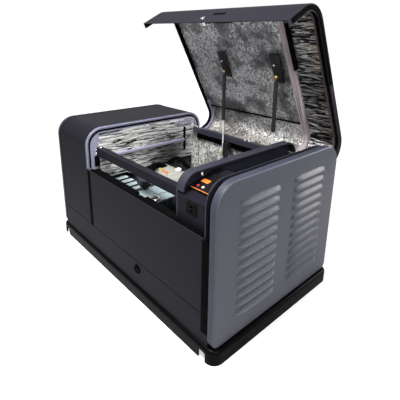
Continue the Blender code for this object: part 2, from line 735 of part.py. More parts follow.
def partition():
    """Wall between the engine bay and the controls, with a rolled top."""
    inset = PARTITION_INSET

    def section(extra, foot):
        bend = PARTITION_RADIUS - extra
        front, rear, top = FRONT + inset + extra, REAR - inset - extra, BODY_TOP - inset - extra
        line = [(front, foot)] + arc(front + bend, top - bend, bend, 180, 90, 6)
        return line + arc(rear - bend, top - bend, bend, 90, 0, 6) + [(rear, foot)]

    wall = extrude("partition", [section(0.0, FLOOR)], "X",
                   PARTITION_X, PARTITION_X + PARTITION_PLATE, CHARCOAL)
    shoulder = BODY_TOP - inset - PARTITION_RADIUS
    roll = section(0.0001, shoulder) + section(PARTITION_ROLL_WALL, shoulder)[::-1]
    fuse(wall, extrude("roll", [roll], "X", PARTITION_X + PARTITION_PLATE / 2,
                       PARTITION_X + PARTITION_ROLL))
    room = 0.002
    cut(wall, box("rail_notch", (PARTITION_X - 0.1, RAIL_FRONT_Y - room, RAIL_TOP - RAIL_HEIGHT - room),
                  (PARTITION_X + 0.1, REAR, RAIL_TOP + room)))
    return wall


def cross_members():
    box("cross_bar", (FRAME_OUT_X + GAP, BAR_FRONT_Y, BAR_TOP - BAR_HEIGHT),
        (PARTITION_X - GAP, BAR_FRONT_Y + BAR_DEPTH, BAR_TOP), CHARCOAL, 0.002)
    box("hinge_rail", (FRAME_OUT_X + GAP, RAIL_FRONT_Y, RAIL_TOP - RAIL_HEIGHT),
        (FRAME_FACE_X - GAP, RAIL_FRONT_Y + RAIL_DEPTH, RAIL_TOP), CHARCOAL, 0.002)


# ---------------------------------------------------------------- controls
def slope_point(x, distance, height):
    """World point on the sloped top: distance up the slope, height off its surface."""
    run, rise = math.cos(SLOPE), math.sin(SLOPE)
    return Vector((x, BOX_FRONT_Y + distance * run - height * rise,
                   BOX_FRONT_TOP + distance * rise + height * run))


def slope_box(name, x_low, x_high, near, far, low, high, look=None, bevel=0.0):
    """Box whose faces follow the sloped top of the control box."""
    item = box(name, (x_low, near, low), (x_high, far, high), look, bevel)
    place = Matrix.Translation((0.0, BOX_FRONT_Y, BOX_FRONT_TOP)) @ Matrix.Rotation(SLOPE, 4, "X")
    item.data.transform(place)
    return item


def control_box():
    left, right = PARTITION_X + PARTITION_PLATE + GAP, FRAME_FACE_X - 0.0005
    section = [(BOX_BACK_Y, BOX_BOTTOM), (BOX_FRONT_Y, BOX_BOTTOM), (BOX_FRONT_Y, BOX_FRONT_TOP),
               (BOX_SLOPE_END_Y, BOX_SLOPE_END_Z), (BOX_BACK_Y, BOX_SLOPE_END_Z),
               (BOX_BACK_Y, BOX_SLOPE_END_Z - SKIN), (BOX_SLOPE_END_Y, BOX_SLOPE_END_Z - SKIN),
               (BOX_FRONT_Y + SKIN, BOX_FRONT_TOP - SKIN), (BOX_FRONT_Y + SKIN, BOX_BOTTOM + SKIN),
               (BOX_BACK_Y, BOX_BOTTOM + SKIN)]
    casing = extrude("control_box", [section], "X", left, right, CHARCOAL)
    half_w, half_h = BREAKER_WIDTH / 2 + 2 * GAP, BREAKER_HEIGHT / 2 + 2 * GAP
    cut(casing, box("breaker_window", (BREAKER_X - half_w, BOX_FRONT_Y - 0.01, BREAKER_Z - half_h),
                    (BREAKER_X + half_w, BOX_FRONT_Y + 0.01, BREAKER_Z + half_h)))
    return casing


def controller():
    """Black control module on the slope with two push buttons in bores."""
    near = 0.040
    far = near + CONTROLLER_LENGTH
    half = CONTROLLER_WIDTH / 2
    module = slope_box("controller", CONTROLLER_MIDDLE_X - half, CONTROLLER_MIDDLE_X + half,
                       near, far, GAP, CONTROLLER_THICKNESS, PLASTIC, 0.0015)
    buttons = (("start_button", START_BUTTON_X, WHITE), ("stop_button", STOP_BUTTON_X, RED))
    for name, x, look in buttons:
        bottom = CONTROLLER_THICKNESS - BUTTON_HEIGHT
        cut(module, rod("bore", slope_point(x, near + 0.020, bottom),
                        slope_point(x, near + 0.020, 2 * CONTROLLER_THICKNESS),
                        BUTTON_RADIUS + BUTTON_CLEARANCE, sides=20))
        foot = slope_point(x, near + 0.020, bottom + BUTTON_TRAVEL + GAP)
        head = slope_point(x, near + 0.020, bottom + BUTTON_TRAVEL + GAP + BUTTON_HEIGHT)
        rebase(rod(name, foot, head, BUTTON_RADIUS, look, 20), foot)


def breaker():
    half_w, half_h = BREAKER_WIDTH / 2, BREAKER_HEIGHT / 2
    face = BOX_FRONT_Y - BREAKER_PROUD
    body = box("breaker", (BREAKER_X - half_w, face, BREAKER_Z - half_h),
               (BREAKER_X + half_w, face + BREAKER_DEPTH, BREAKER_Z + half_h), PLASTIC)
    slot = LEVER_WIDTH / 2 + 0.001
    cut(body, box("slot", (BREAKER_X - slot, face - 0.01, BREAKER_Z - LEVER_SLOT_HEIGHT / 2),
                  (BREAKER_X + slot, face + LEVER_SLOT_DEPTH, BREAKER_Z + LEVER_SLOT_HEIGHT / 2)))
    axis_y = face + LEVER_SLOT_DEPTH - LEVER_THICKNESS
    tip = axis_y - LEVER_LENGTH
    outline = [(axis_y, BREAKER_Z - LEVER_THICKNESS / 2), (axis_y, BREAKER_Z + LEVER_THICKNESS / 2)]
    outline += [(tip, BREAKER_Z + LEVER_THICKNESS * 0.35), (tip, BREAKER_Z - LEVER_THICKNESS * 0.35)]
    lever = extrude("breaker_lever", [outline], "X", BREAKER_X - LEVER_WIDTH / 2,
                    BREAKER_X + LEVER_WIDTH / 2, PLASTIC)
    fuse(lever, rod("trunnion", (BREAKER_X - LEVER_WIDTH / 2 + 0.0002, axis_y, BREAKER_Z),
                    (BREAKER_X + LEVER_WIDTH / 2 - 0.0002, axis_y, BREAKER_Z),
                    LEVER_THICKNESS / 2, sides=16))
    rebase(lever, (BREAKER_X, axis_y, BREAKER_Z))


# ---------------------------------------------------------------- lid
def lid(empty):
    """Lid drawn closed, then turned open with its hinge empty."""
    origin = empty.location.copy()
    rear_foot = HINGE_Z + LID_REAR_CLEARANCE
    front_foot = PANEL_TOP + LID_FRONT_CLEARANCE
    shell = extrude("lid_shell", [band(0.0, LID_FLANGE, front_foot, rear_foot)], "X",
                    LID_LEFT_X, LID_RIGHT_X, CHARCOAL)
    cut(shell, extrude("inside", [band(SKIN, LID_FLANGE + 0.02, front_foot - 0.05, rear_foot - 0.05)],
                       "X", LID_LEFT_X + SKIN, LID_RIGHT_X - SKIN))
    cut(shell, rod("lock_hole", (LOCK_X, FRONT - 0.01, LOCK_Z), (LOCK_X, FRONT + 0.01, LOCK_Z),
                   LOCK_RADIUS + LOCK_CLEARANCE, sides=24))

    inset = SKIN + GAP
    liner_left, liner_right = LID_LEFT_X + SKIN + 0.002, FRAME_FACE_X - 0.003
    liner = extrude("lid_liner", [band(inset, inset + LINER, front_foot + 0.045, rear_foot + 0.010)],
                    "X", liner_left, liner_right, FOIL)
    under = inset + LINER + GAP
    rib = extrude("lid_rib", [band(under, under + RIB_DEPTH, front_foot + 0.050, rear_foot + 0.040)],
                  "X", RIB_LEFT_X, RIB_LEFT_X + RIB_WIDTH, LAVENDER)
    for item in (shell, liner, rib):
        hang(item, empty, origin)

    under_z = BODY_TOP - under
    for side, x in zip(("left", "right"), STRUT_X):
        ear_x = x + BRACKET_OFFSET
        bracket = box(f"strut_bracket_{side}", (x - 0.020, STRUT_LID_Y - 0.060, under_z - 0.005),
                      (x + 0.022, STRUT_LID_Y + 0.020, under_z), PLASTIC)
        fuse(bracket,
             box("ear", (ear_x, STRUT_LID_Y - 0.010, STRUT_LID_Z - 0.010),
                 (ear_x + BRACKET_THICKNESS, STRUT_LID_Y + 0.010, under_z - 0.002)),
             rod("stud", (x + EYE_HALF + GAP, STRUT_LID_Y, STRUT_LID_Z),
                 (ear_x + BRACKET_THICKNESS / 2, STRUT_LID_Y, STRUT_LID_Z), STUD_RADIUS, sides=16))
        hang(bracket, empty, origin)


def hinges(empty):
    """Butt hinges on the rear face: a fixed leaf with the pin, and the leaf on the lid."""
    origin = empty.location.copy()
    inner = REAR + GAP
    outer = inner + LEAF_THICKNESS
    for side, x in zip(("left", "right"), HINGE_X):
        half, knuckle = LEAF_WIDTH / 2, KNUCKLE_LENGTH / 2
        top = REAR_PANEL_TOP
        axis = (HINGE_Y, HINGE_Z)
        fixed = box(f"fixed_hinge_leaf_{side}", (x - half, inner, top - LEAF_HEIGHT),
                    (x + half, outer, top), STEEL)
        fuse(fixed,
             box("web", (x - knuckle, inner + 0.0001, top - 0.004),
                 (x + knuckle, outer - 0.0001, HINGE_Z)),
             rod("barrel", (x - knuckle, *axis), (x + knuckle, *axis), KNUCKLE_RADIUS, sides=20),
             rod("pin", (x - half, *axis), (x + half, *axis), PIN_RADIUS, sides=16))

        bottom = HINGE_Z + LID_REAR_CLEARANCE
        moving = box(f"lid_hinge_leaf_{side}", (x - half, inner, bottom),
                     (x + half, outer, BODY_TOP - BODY_RADIUS), STEEL)
        for sign in (-1, 1):
            near, far = sorted((x + sign * (knuckle + PIN_CLEARANCE), x + sign * half))
            fuse(moving,
                 box("web", (near, inner + 0.0001, HINGE_Z), (far, outer - 0.0001, bottom + 0.004)),
                 rod("barrel", (near, *axis), (far, *axis), KNUCKLE_RADIUS, sides=20))
        cut(moving, rod("bore", (x - 2 * half, *axis), (x + 2 * half, *axis),
                        PIN_RADIUS + PIN_CLEARANCE, sides=16))
        hang(moving, empty, origin)


def lock(empty):
    """Key lock in the lid's front flap: barrel and cam, turning on the barrel's axis."""
    origin = empty.location.copy()
    barrel = rod("lock_cylinder", (LOCK_X, FRONT - LOCK_PROUD, LOCK_Z),
                 (LOCK_X, FRONT + LOCK_DEPTH, LOCK_Z), LOCK_RADIUS, STEEL, 24)
    back = FRONT + LOCK_DEPTH
    fuse(barrel, box("cam", (LOCK_X - CAM_WIDTH / 2, back - 2 * CAM_THICKNESS, LOCK_Z - CAM_WIDTH / 2),
                     (LOCK_X + CAM_LENGTH, back - CAM_THICKNESS, LOCK_Z + CAM_WIDTH / 2)))
    centre = Vector((LOCK_X, FRONT, LOCK_Z))
    barrel.data.transform(Matrix.Translation(-centre))
    barrel.parent = empty
    barrel.location = centre - origin


def opened(y, z):
    """Place of a point of the closed lid once the lid is open."""
    dy, dz = y - HINGE_Y, z - HINGE_Z
    c, s = math.cos(LID_OPEN), math.sin(LID_OPEN)
    return HINGE_Y + dy * c + dz * s, HINGE_Z - dy * s + dz * c


def struts():
    """Gas struts: tube on the lid's stud, rod beside the stud of the foot."""
    for side, x in zip(("left", "right"), STRUT_X):
        top = Vector((x, *opened(STRUT_LID_Y, STRUT_LID_Z)))
        foot = Vector((x, STRUT_FOOT_Y, STRUT_FOOT_Z))
        down = (foot - top).normalized()
        bore = STRUT_ROD_RADIUS + STRUT_BORE_CLEARANCE
        start, end = EYE_RADIUS * 0.6, STRUT_TUBE_LENGTH
        profile = [(bore, end), (STRUT_TUBE_RADIUS, end), (STRUT_TUBE_RADIUS, start + 0.012),
                   (STRUT_ROD_RADIUS * 0.9, start + 0.004), (STRUT_ROD_RADIUS * 0.9, start),
                   (0.0, start)]
        inside = [(0.0, STRUT_BORE_START), (bore, STRUT_BORE_START), (bore, end)]
        tube_part = turned(f"strut_tube_{side}", inside + profile[1:], top, foot, PLASTIC, 20)
        fuse(tube_part, rod("eye", top - Vector((EYE_HALF, 0, 0)), top + Vector((EYE_HALF, 0, 0)),
                            EYE_RADIUS, sides=20))
        rebase(tube_part, top)

        rod_top = foot - down * STRUT_ROD_LENGTH
        rod_part = rod(f"strut_rod_{side}", foot - down * EYE_RADIUS * 0.5, rod_top,
                       STRUT_ROD_RADIUS, STEEL, 16)
        fuse(rod_part, rod("eye", foot - Vector((EYE_HALF, 0, 0)), foot + Vector((EYE_HALF, 0, 0)),
                           EYE_RADIUS, sides=20))
        rebase(rod_part, foot)

        plate_x = x + BRACKET_OFFSET
        foot_part = box(f"strut_foot_{side}",
                        (plate_x, STRUT_FOOT_Y - 0.014, STRUT_FOOT_Z - 0.016),
                        (plate_x + BRACKET_THICKNESS, RAIL_FRONT_Y + RAIL_DEPTH - 0.002,
                         RAIL_TOP - RAIL_HEIGHT - GAP), PLASTIC)
        fuse(foot_part, rod("stud", (x + EYE_HALF + GAP, STRUT_FOOT_Y, STRUT_FOOT_Z),
                            (plate_x + BRACKET_THICKNESS / 2, STRUT_FOOT_Y, STRUT_FOOT_Z),
                            STUD_RADIUS, sides=16))


# ---------------------------------------------------------------- engine and alternator
def engine_block():
    block = box("engine_block", (ENGINE_LEFT_X, -ENGINE_HALF, FEET_Z),
                (ENGINE_RIGHT_X, ENGINE_HALF, ENGINE_TOP), ALLOY, 0.006)
    fuse(block, box("sole", (ENGINE_LEFT_X + 0.010, -ENGINE_FOOT_FRONT, FEET_Z + 0.0001),
                    (ENGINE_RIGHT_X - 0.002, ENGINE_FOOT_REAR, FEET_Z + ENGINE_FOOT)))


def cylinders():
    """Two finned cylinders lying front and rear of the crankcase."""
    for name, side in (("cylinder_front", -1), ("cylinder_rear", 1)):
        start = ENGINE_HALF + GAP
        pitch = (CYLINDER_LENGTH - 0.030) / FIN_COUNT
        left, right = CYLINDER_LEFT_X, CYLINDER_RIGHT_X
        edge = []
        for fin in range(FIN_COUNT):
            low = start + 0.006 + fin * pitch
            edge += [(low, FIN_DEPTH), (low, 0.0), (low + FIN_THICKNESS, 0.0),
                     (low + FIN_THICKNESS, FIN_DEPTH)]
        cover = start + CYLINDER_LENGTH - 0.022
        profile = [(start, FIN_DEPTH)] + edge + [(cover, FIN_DEPTH), (cover, 0.004),
                                                 (start + CYLINDER_LENGTH, 0.004)]
        outline = [(left + depth, side * y) for y, depth in profile]
        outline += [(right - depth, side * y) for y, depth in reversed(profile)]
        extrude(name, [outline], "Z", CYLINDER_BOTTOM, CYLINDER_TOP, ALLOY)


def ribbed_shield():
    """Slatted cover over the front cylinder."""
    left, right = SHIELD_LEFT_X, SHIELD_RIGHT_X
    base = ENGINE_TOP + GAP
    pitch = (right - left) / SHIELD_SLATS
    top = [(left, base), (left, base + SHIELD_HEIGHT)]
    for slat in range(1, SHIELD_SLATS):
        x = left + slat * pitch
        top += [(x - 0.005, base + SHIELD_HEIGHT), (x - 0.005, base + 0.008),
                (x + 0.005, base + 0.008), (x + 0.005, base + SHIELD_HEIGHT)]
    top += [(right, base + SHIELD_HEIGHT), (right, base)]
    extrude("ribbed_shield", [[(z, x) for x, z in top]], "Y", SHIELD_FRONT_Y,
            SHIELD_FRONT_Y + SHIELD_DEPTH, ALLOY)


def alternator():
    right = ENGINE_LEFT_X - GAP
    left = right - ALTERNATOR_LENGTH
    r = ALTERNATOR_RADIUS
    length = ALTERNATOR_LENGTH
    profile = [(0.0, length), (r * 0.92, length), (r, length - 0.02), (r, length - 0.05),
               (r * 0.95, length - 0.055), (r * 0.95, 0.060), (r, 0.055), (r, 0.020),
               (r * 0.70, 0.0), (0.0, 0.0)]
    body = turned("alternator", profile, (left, 0, CRANK_Z), (right, 0, CRANK_Z), ALLOY, 36)
    fuse(body,
         box("pedestal", (MOUNT_ALTERNATOR_X - 0.030, -0.080, FEET_Z + 0.0001),
             (MOUNT_ALTERNATOR_X + 0.030, 0.080, CRANK_Z - 0.060)),
         box("sole", (MOUNT_ALTERNATOR_X - 0.031, -ENGINE_FOOT_REAR, FEET_Z),
             (MOUNT_ALTERNATOR_X + 0.031, ENGINE_FOOT_REAR, FEET_Z + ENGINE_FOOT)))


def blower():
    """Cooling-air housing on the engine's end, with the fan on the crankshaft inside it."""
    left = ENGINE_RIGHT_X + GAP
    right = left + BLOWER_DEPTH
    wall, radius = BLOWER_WALL, BLOWER_RADIUS
    hole = SHAFT_RADIUS + SHAFT_CLEARANCE
    profile = [(BLOWER_INLET, BLOWER_DEPTH), (radius - 0.012, BLOWER_DEPTH),
               (radius, BLOWER_DEPTH - 0.012), (radius, 0.0), (hole, 0.0), (hole, wall),
               (radius - wall, wall), (radius - wall, BLOWER_DEPTH - wall),
               (BLOWER_INLET, BLOWER_DEPTH - wall), (BLOWER_INLET, BLOWER_DEPTH)]
    turned("blower_housing", profile, (left, 0, CRANK_Z), (right, 0, CRANK_Z), CREAM, 40)

    start = left + wall + 0.012
    fan = rod("cooling_fan", (start, 0, CRANK_Z), (start + 0.004, 0, CRANK_Z), FAN_RADIUS,
              PLASTIC, 36)
    fuse(fan,
         rod("hub", (start + 0.001, 0, CRANK_Z), (start + FAN_DEPTH, 0, CRANK_Z), FAN_HUB, sides=24),
         rod("shaft", (left + GAP, 0, CRANK_Z), (start + 0.002, 0, CRANK_Z), SHAFT_RADIUS, sides=16))
    blades = []
    for number in range(FAN_BLADES):
        blade = box("blade", (start + 0.001, FAN_HUB - 0.004, -0.002),
                    (start + FAN_DEPTH - 0.004, FAN_RADIUS - 0.002, 0.002))
        turn = Matrix.Rotation(math.tau * (number + 0.37) / FAN_BLADES, 4, "X")
        blade.data.transform(Matrix.Translation((0, 0, CRANK_Z)) @ turn)
        blades.append(blade)
    fuse(fan, *blades)
    rebase(fan, (start, 0.0, CRANK_Z))


def air_filter():
    left, right = FILTER_LEFT_X, FILTER_RIGHT_X
    front, back = FILTER_FRONT_Y, FILTER_FRONT_Y + FILTER_DEPTH
    case = box("air_filter_box", (left, front, FILTER_BOTTOM), (right, back, FILTER_TOP), TEAL, 0.006)
    leg_front = -ENGINE_FOOT_FRONT + 0.004
    fuse(case, box("leg", (left + 0.010, leg_front, FEET_Z + ENGINE_FOOT + GAP),
                   (ENGINE_RIGHT_X - 0.006, leg_front + 0.020, FILTER_BOTTOM + 0.008)))

    start = (left - GAP, front + FILTER_DEPTH / 2, FILTER_TOP - 0.024)
    route = [(left - 0.006, front + FILTER_DEPTH / 2, FILTER_TOP - 0.024),
             (left - 0.022, front + FILTER_DEPTH / 2, FILTER_TOP - 0.024),
             (left - 0.060, front + FILTER_DEPTH * 0.66, FILTER_TOP + 0.004),
             (left - 0.100, front + FILTER_DEPTH * 1.15, FILTER_TOP + 0.026),
             (left - 0.142, -0.080, FILTER_TOP + 0.028),
             (left - 0.152, -0.010, FILTER_TOP + 0.002),
             (left - 0.150, 0.030, ENGINE_TOP + 0.030),
             (left - 0.150, 0.030, ENGINE_TOP + 0.010)]
    end = (left - 0.150, 0.030, ENGINE_TOP + GAP)
    tube("intake_hose", [start] + smooth_line(route) + [end], HOSE_RADIUS, RUBBER)


def exhaust():
    left, right = MUFFLER_LEFT_X, MUFFLER_LEFT_X + MUFFLER_LENGTH
    r, length = MUFFLER_RADIUS, MUFFLER_LENGTH
    profile = [(0.0, length), (r * 0.8, length), (r, length - 0.012), (r, 0.012), (r * 0.8, 0.0),
               (0.0, 0.0)]
    can = turned("muffler", profile, (left, MUFFLER_Y, MUFFLER_Z), (right, MUFFLER_Y, MUFFLER_Z),
                 ALLOY, 28)
    neck_x = (CYLINDER_LEFT_X + CYLINDER_RIGHT_X) / 2
    neck_y = ENGINE_HALF + CYLINDER_LENGTH - 0.030
    fuse(can,
         rod("neck", (neck_x, neck_y, MUFFLER_Z + 0.02), (neck_x, neck_y, CYLINDER_BOTTOM - GAP),
             0.014, sides=16),
         box("strap", (neck_x - 0.015, MUFFLER_Y - 0.004, FLOOR),
             (neck_x + 0.015, MUFFLER_Y + 0.004, MUFFLER_Z - 0.02)))
    start = (right + GAP, MUFFLER_Y, MUFFLER_Z)
    route = [start, (right + 0.030, MUFFLER_Y, MUFFLER_Z),
             (TAIL_X - 0.030, MUFFLER_Y + 0.006, MUFFLER_Z),
             (TAIL_X - 0.004, MUFFLER_Y + 0.032, MUFFLER_Z),
             (TAIL_X, MUFFLER_Y + 0.062, MUFFLER_Z), (TAIL_X, REAR + 0.004, MUFFLER_Z)]
    tube("exhaust_pipe", smooth_line(route), TAIL_RADIUS, ALLOY)


def auxiliaries():
    y = -ENGINE_HALF - GAP - STARTER_RADIUS
    rod("starter_motor", (ENGINE_LEFT_X + 0.012, y, STARTER_Z),
        (OIL_FILTER_X - OIL_FILTER_RADIUS - 0.012, y, STARTER_Z), STARTER_RADIUS, PLASTIC, 28)
    r = OIL_FILTER_RADIUS
    profile = [(0.0, 0.080), (r * 0.8, 0.080), (r, 0.072), (r, 0.006), (r * 0.9, 0.0), (0.0, 0.0)]
    turned("oil_filter", profile, (OIL_FILTER_X, -ENGINE_HALF - GAP, OIL_FILTER_Z),
           (OIL_FILTER_X, -ENGINE_HALF - 0.1, OIL_FILTER_Z), PLASTIC, 24)

    low = Vector((BATTERY_LEFT_X, BATTERY_FRONT_Y, FLOOR))
    high = low + Vector(BATTERY_SIZE)
    battery = box("battery", low, high, PLASTIC, 0.003)
    posts = [rod("post", (x, high.y - 0.025, high.z - 0.004), (x, high.y - 0.025, high.z + 0.014),
                 0.008, sides=16) for x in (low.x + 0.025, high.x - 0.025)]
    fuse(battery, *posts)

    middle_x = BATTERY_LEFT_X + BATTERY_SIZE[0] / 2
    y = BATTERY_FRONT_Y - REGULATOR_RADIUS - 0.030
    r, height = REGULATOR_RADIUS, REGULATOR_HEIGHT
    profile = [(0.0, height), (r * 0.35, height), (r * 0.45, height * 0.62), (r, height * 0.55),
               (r, height * 0.35), (r * 0.6, height * 0.25), (r * 0.6, 0.0), (0.0, 0.0)]
    turned("gas_regulator", profile, (middle_x, y, FLOOR), (middle_x, y, FLOOR + height), ALLOY, 28)


# ---------------------------------------------------------------- assembly
def build():
    base_tray()
    bed_rails()
    engine_mounts()
    end_panel("right_end_panel", 1)
    end_panel("left_end_panel", -1)
    hood()
    front_covers()
    rear_cover()
    control_end_frame()
    partition()
    cross_members()
    control_box()
    controller()
    breaker()
    hinge = pivot("lid_hinge", (0.0, HINGE_Y, HINGE_Z), -LID_OPEN)
    lid(hinge)
    hinges(hinge)
    lock(hinge)
    struts()
    engine_block()
    cylinders()
    ribbed_shield()
    alternator()
    blower()
    air_filter()
    exhaust()
    auxiliaries()


build()
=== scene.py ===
import math

import bpy
from mathutils import Matrix, Vector, noise


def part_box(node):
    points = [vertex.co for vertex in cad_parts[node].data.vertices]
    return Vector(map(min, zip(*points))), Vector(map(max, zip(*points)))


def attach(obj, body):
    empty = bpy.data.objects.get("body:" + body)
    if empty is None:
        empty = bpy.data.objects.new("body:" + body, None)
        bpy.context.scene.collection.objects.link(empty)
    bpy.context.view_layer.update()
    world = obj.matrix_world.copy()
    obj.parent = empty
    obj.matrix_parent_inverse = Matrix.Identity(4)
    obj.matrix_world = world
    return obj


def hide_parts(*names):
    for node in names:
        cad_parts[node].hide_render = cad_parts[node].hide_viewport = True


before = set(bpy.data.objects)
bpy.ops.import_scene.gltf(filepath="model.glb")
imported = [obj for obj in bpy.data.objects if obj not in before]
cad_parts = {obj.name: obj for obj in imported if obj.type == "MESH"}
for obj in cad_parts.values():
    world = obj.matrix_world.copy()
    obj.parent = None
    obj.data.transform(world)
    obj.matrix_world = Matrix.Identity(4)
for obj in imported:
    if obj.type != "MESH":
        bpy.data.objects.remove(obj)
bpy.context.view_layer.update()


# ------------------------------------------------------------------ camera, floor and light
# A pale studio floor under the set, with broad soft lamps and a white surround.
# The camera stands in front of the louvred end, a little above the hood.
camera = bpy.data.objects.new("camera", bpy.data.cameras.new("camera"))
bpy.context.scene.collection.objects.link(camera)
camera.data.sensor_width = 36.0
camera.data.lens = 32.679
camera.data.shift_y = -0.15
camera.data.clip_start = 0.01
turn, lift, lean = math.radians(47.54), math.radians(16.04), math.radians(0.89)
back = Vector((math.sin(turn) * math.cos(lift), -math.cos(turn) * math.cos(lift), math.sin(lift)))
right = Vector((math.cos(turn), math.sin(turn), 0.0))
up = back.cross(right)
tilted_right = right * math.cos(lean) + up * math.sin(lean)
tilted_up = up * math.cos(lean) - right * math.sin(lean)
axes = Matrix((tilted_right, tilted_up, back)).transposed()
camera.matrix_world = Matrix.Translation((1.2504, -1.0305, 1.0529)) @ axes.to_4x4()
bpy.context.scene.camera = camera


class Wire:
    """One output in a material's node tree; arithmetic on it adds Math nodes."""

    def __init__(self, tree, socket):
        self.tree = tree
        self.socket = socket

    def node(self, kind, settings, values, output=0):
        made = self.tree.nodes.new(kind)
        for key, value in settings.items():
            if key == "stops":
                marks = made.color_ramp.elements
                marks[0].position, marks[0].color = value[0]
                marks[1].position, marks[1].color = value[-1]
                for position, colour in value[1:-1]:
                    marks.new(position).color = colour
            else:
                setattr(made, key, value)
        for key, value in values.items():
            if isinstance(value, Wire):
                self.tree.links.new(value.socket, made.inputs[key])
            else:
                made.inputs[key].default_value = value
        return Wire(self.tree, made.outputs[output])

    def sum_of(self, operation, first, second):
        return self.node("ShaderNodeMath", {"operation": operation}, {0: first, 1: second})

    def __add__(self, other):
        return self.sum_of("ADD", self, other)

    __radd__ = __add__

    def __sub__(self, other):
        return self.sum_of("SUBTRACT", self, other)

    def __rsub__(self, other):
        return self.sum_of("SUBTRACT", other, self)

    def __mul__(self, other):
        return self.sum_of("MULTIPLY", self, other)

    __rmul__ = __mul__

    def blend(self, first, second):
        return self.node("ShaderNodeMix", {"data_type": "RGBA"},
                         {0: self, 6: (*first, 1.0), 7: (*second, 1.0)}, 2)


def blank(name, roughness=0.5, metallic=0.0):
    material = bpy.data.materials.new(name)
    material.use_nodes = True
    tree = material.node_tree
    shader = tree.nodes["Principled BSDF"]
    shader.inputs["Roughness"].default_value = roughness
    shader.inputs["Metallic"].default_value = metallic
    place = Wire(tree, tree.nodes.new("ShaderNodeTexCoord").outputs["Object"])
    return material, shader, place


def plug(shader, name, wire):
    wire.tree.links.new(wire.socket, shader.inputs[name])


bpy.ops.object.select_all(action="DESELECT")
bpy.ops.mesh.primitive_plane_add(size=30.0)
floor = bpy.context.object
floor.name = "studio_floor"
white, shader, place = blank("studio_white", 0.9)
speck = place.node("ShaderNodeTexNoise", {}, {"Vector": place, "Scale": 40.0})
plug(shader, "Base Color", speck.blend((0.66, 0.66, 0.66), (0.68, 0.68, 0.68)))
shader.inputs["Specular IOR Level"].default_value = 0.1
path = place.tree.nodes.new("ShaderNodeLightPath")
shader.inputs["Emission Strength"].default_value = 1.0
away = place.node("ShaderNodeVectorMath", {"operation": "LENGTH"}, {0: place}, 1)
far = place.node("ShaderNodeMapRange", {}, {"Value": away, "From Min": 1.4, "From Max": 4.0})
seen = Wire(place.tree, path.outputs["Is Camera Ray"])
glow = seen * (0.55 + 0.45 * far)
plug(shader, "Emission Color", glow.blend((0.0, 0.0, 0.0), (1.0, 1.0, 1.0)))
floor.data.materials.append(white)

world = bpy.data.worlds.new("surround")
bpy.context.scene.world = world
world.use_nodes = True
rays = world.node_tree.nodes.new("ShaderNodeLightPath")
seen = Wire(world.node_tree, rays.outputs["Is Camera Ray"])
mirrored = Wire(world.node_tree, rays.outputs["Is Glossy Ray"])
passed = Wire(world.node_tree, rays.outputs["Is Transmission Ray"])
level = 0.30 + 0.70 * (seen + 0.35 * mirrored + passed)
world.node_tree.links.new(level.socket, world.node_tree.nodes["Background"].inputs["Strength"])
world.node_tree.nodes["Background"].inputs["Color"].default_value = (1, 1, 1, 1)
bpy.context.scene.view_settings.view_transform = "Standard"


def lamp(name, place, aim, size, power):
    light = bpy.data.objects.new(name, bpy.data.lights.new(name, "AREA"))
    bpy.context.scene.collection.objects.link(light)
    light.data.size = size
    light.data.energy = power
    light.location = place
    light.rotation_euler = (Vector(aim) - Vector(place)).to_track_quat("-Z", "Y").to_euler()


lamp("key_lamp", (2.4, -0.9, 2.2), (0.3, 0.0, 0.4), 1.4, 34.0)
lamp("top_lamp", (-0.3, -0.9, 2.9), (0.0, 0.0, 0.4), 1.6, 46.0)
lamp("side_lamp", (1.5, 2.2, 1.2), (0.58, 0.0, 0.4), 0.9, 24.0)
lamp("bay_lamp", (0.35, -0.75, 1.75), (0.05, 0.15, 0.45), 0.5, 26.0)


# ------------------------------------------------------------------ base tray
# One pressed black tray with a rounded rim, folded skirts and a lifting notch near each
# corner. It carries the bed and every wall of the enclosure.
def clear():
    if bpy.context.object and bpy.context.object.mode != "OBJECT":
        bpy.ops.object.mode_set(mode="OBJECT")
    bpy.ops.object.select_all(action="DESELECT")


def place_piece(name, body, material, *nodes):
    """Names the active piece, bakes its place into its mesh and gives it to its body."""
    piece = bpy.context.object
    if piece.mode != "OBJECT":
        bpy.ops.object.mode_set(mode="OBJECT")
    bpy.ops.object.transform_apply(location=True, rotation=True, scale=True)
    piece.name = piece.data.name = name
    if material:
        piece.data.materials.clear()
        piece.data.materials.append(material)
    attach(piece, body)
    if nodes:
        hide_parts(*nodes)
    return piece


def soften(piece, width, segments=2, angle=35.0):
    edge = piece.modifiers.new("edge", "BEVEL")
    edge.width = width
    edge.segments = segments
    edge.limit_method = "ANGLE"
    edge.angle_limit = math.radians(angle)
    bpy.context.view_layer.objects.active = piece
    bpy.ops.object.modifier_apply(modifier=edge.name)
    piece.select_set(True)
    bpy.ops.object.shade_smooth_by_angle(angle=math.radians(angle))


def slab(low, high, edge=0.0, segments=2):
    """A box between two corners with softened edges, left active."""
    low, high = Vector(low), Vector(high)
    clear()
    bpy.ops.mesh.primitive_cube_add(size=1.0, location=(low + high) / 2)
    piece = bpy.context.object
    piece.scale = high - low
    bpy.ops.object.transform_apply(location=True, rotation=True, scale=True)
    if edge:
        soften(piece, edge, segments)
    return piece


def choose(piece, kind, test):
    """Selects the edges or faces of a piece that pass a test, and enters edit mode."""
    bpy.context.view_layer.objects.active = piece
    bpy.ops.object.mode_set(mode="EDIT")
    bpy.ops.mesh.select_mode(type=kind)
    bpy.ops.mesh.select_all(action="DESELECT")
    bpy.ops.object.mode_set(mode="OBJECT")
    points = piece.data.vertices
    if kind == "EDGE":
        for edge in piece.data.edges:
            edge.select = test(points[edge.vertices[0]].co, points[edge.vertices[1]].co)
    else:
        for face in piece.data.polygons:
            face.select = test(face.normal, face.center)
    bpy.ops.object.mode_set(mode="EDIT")


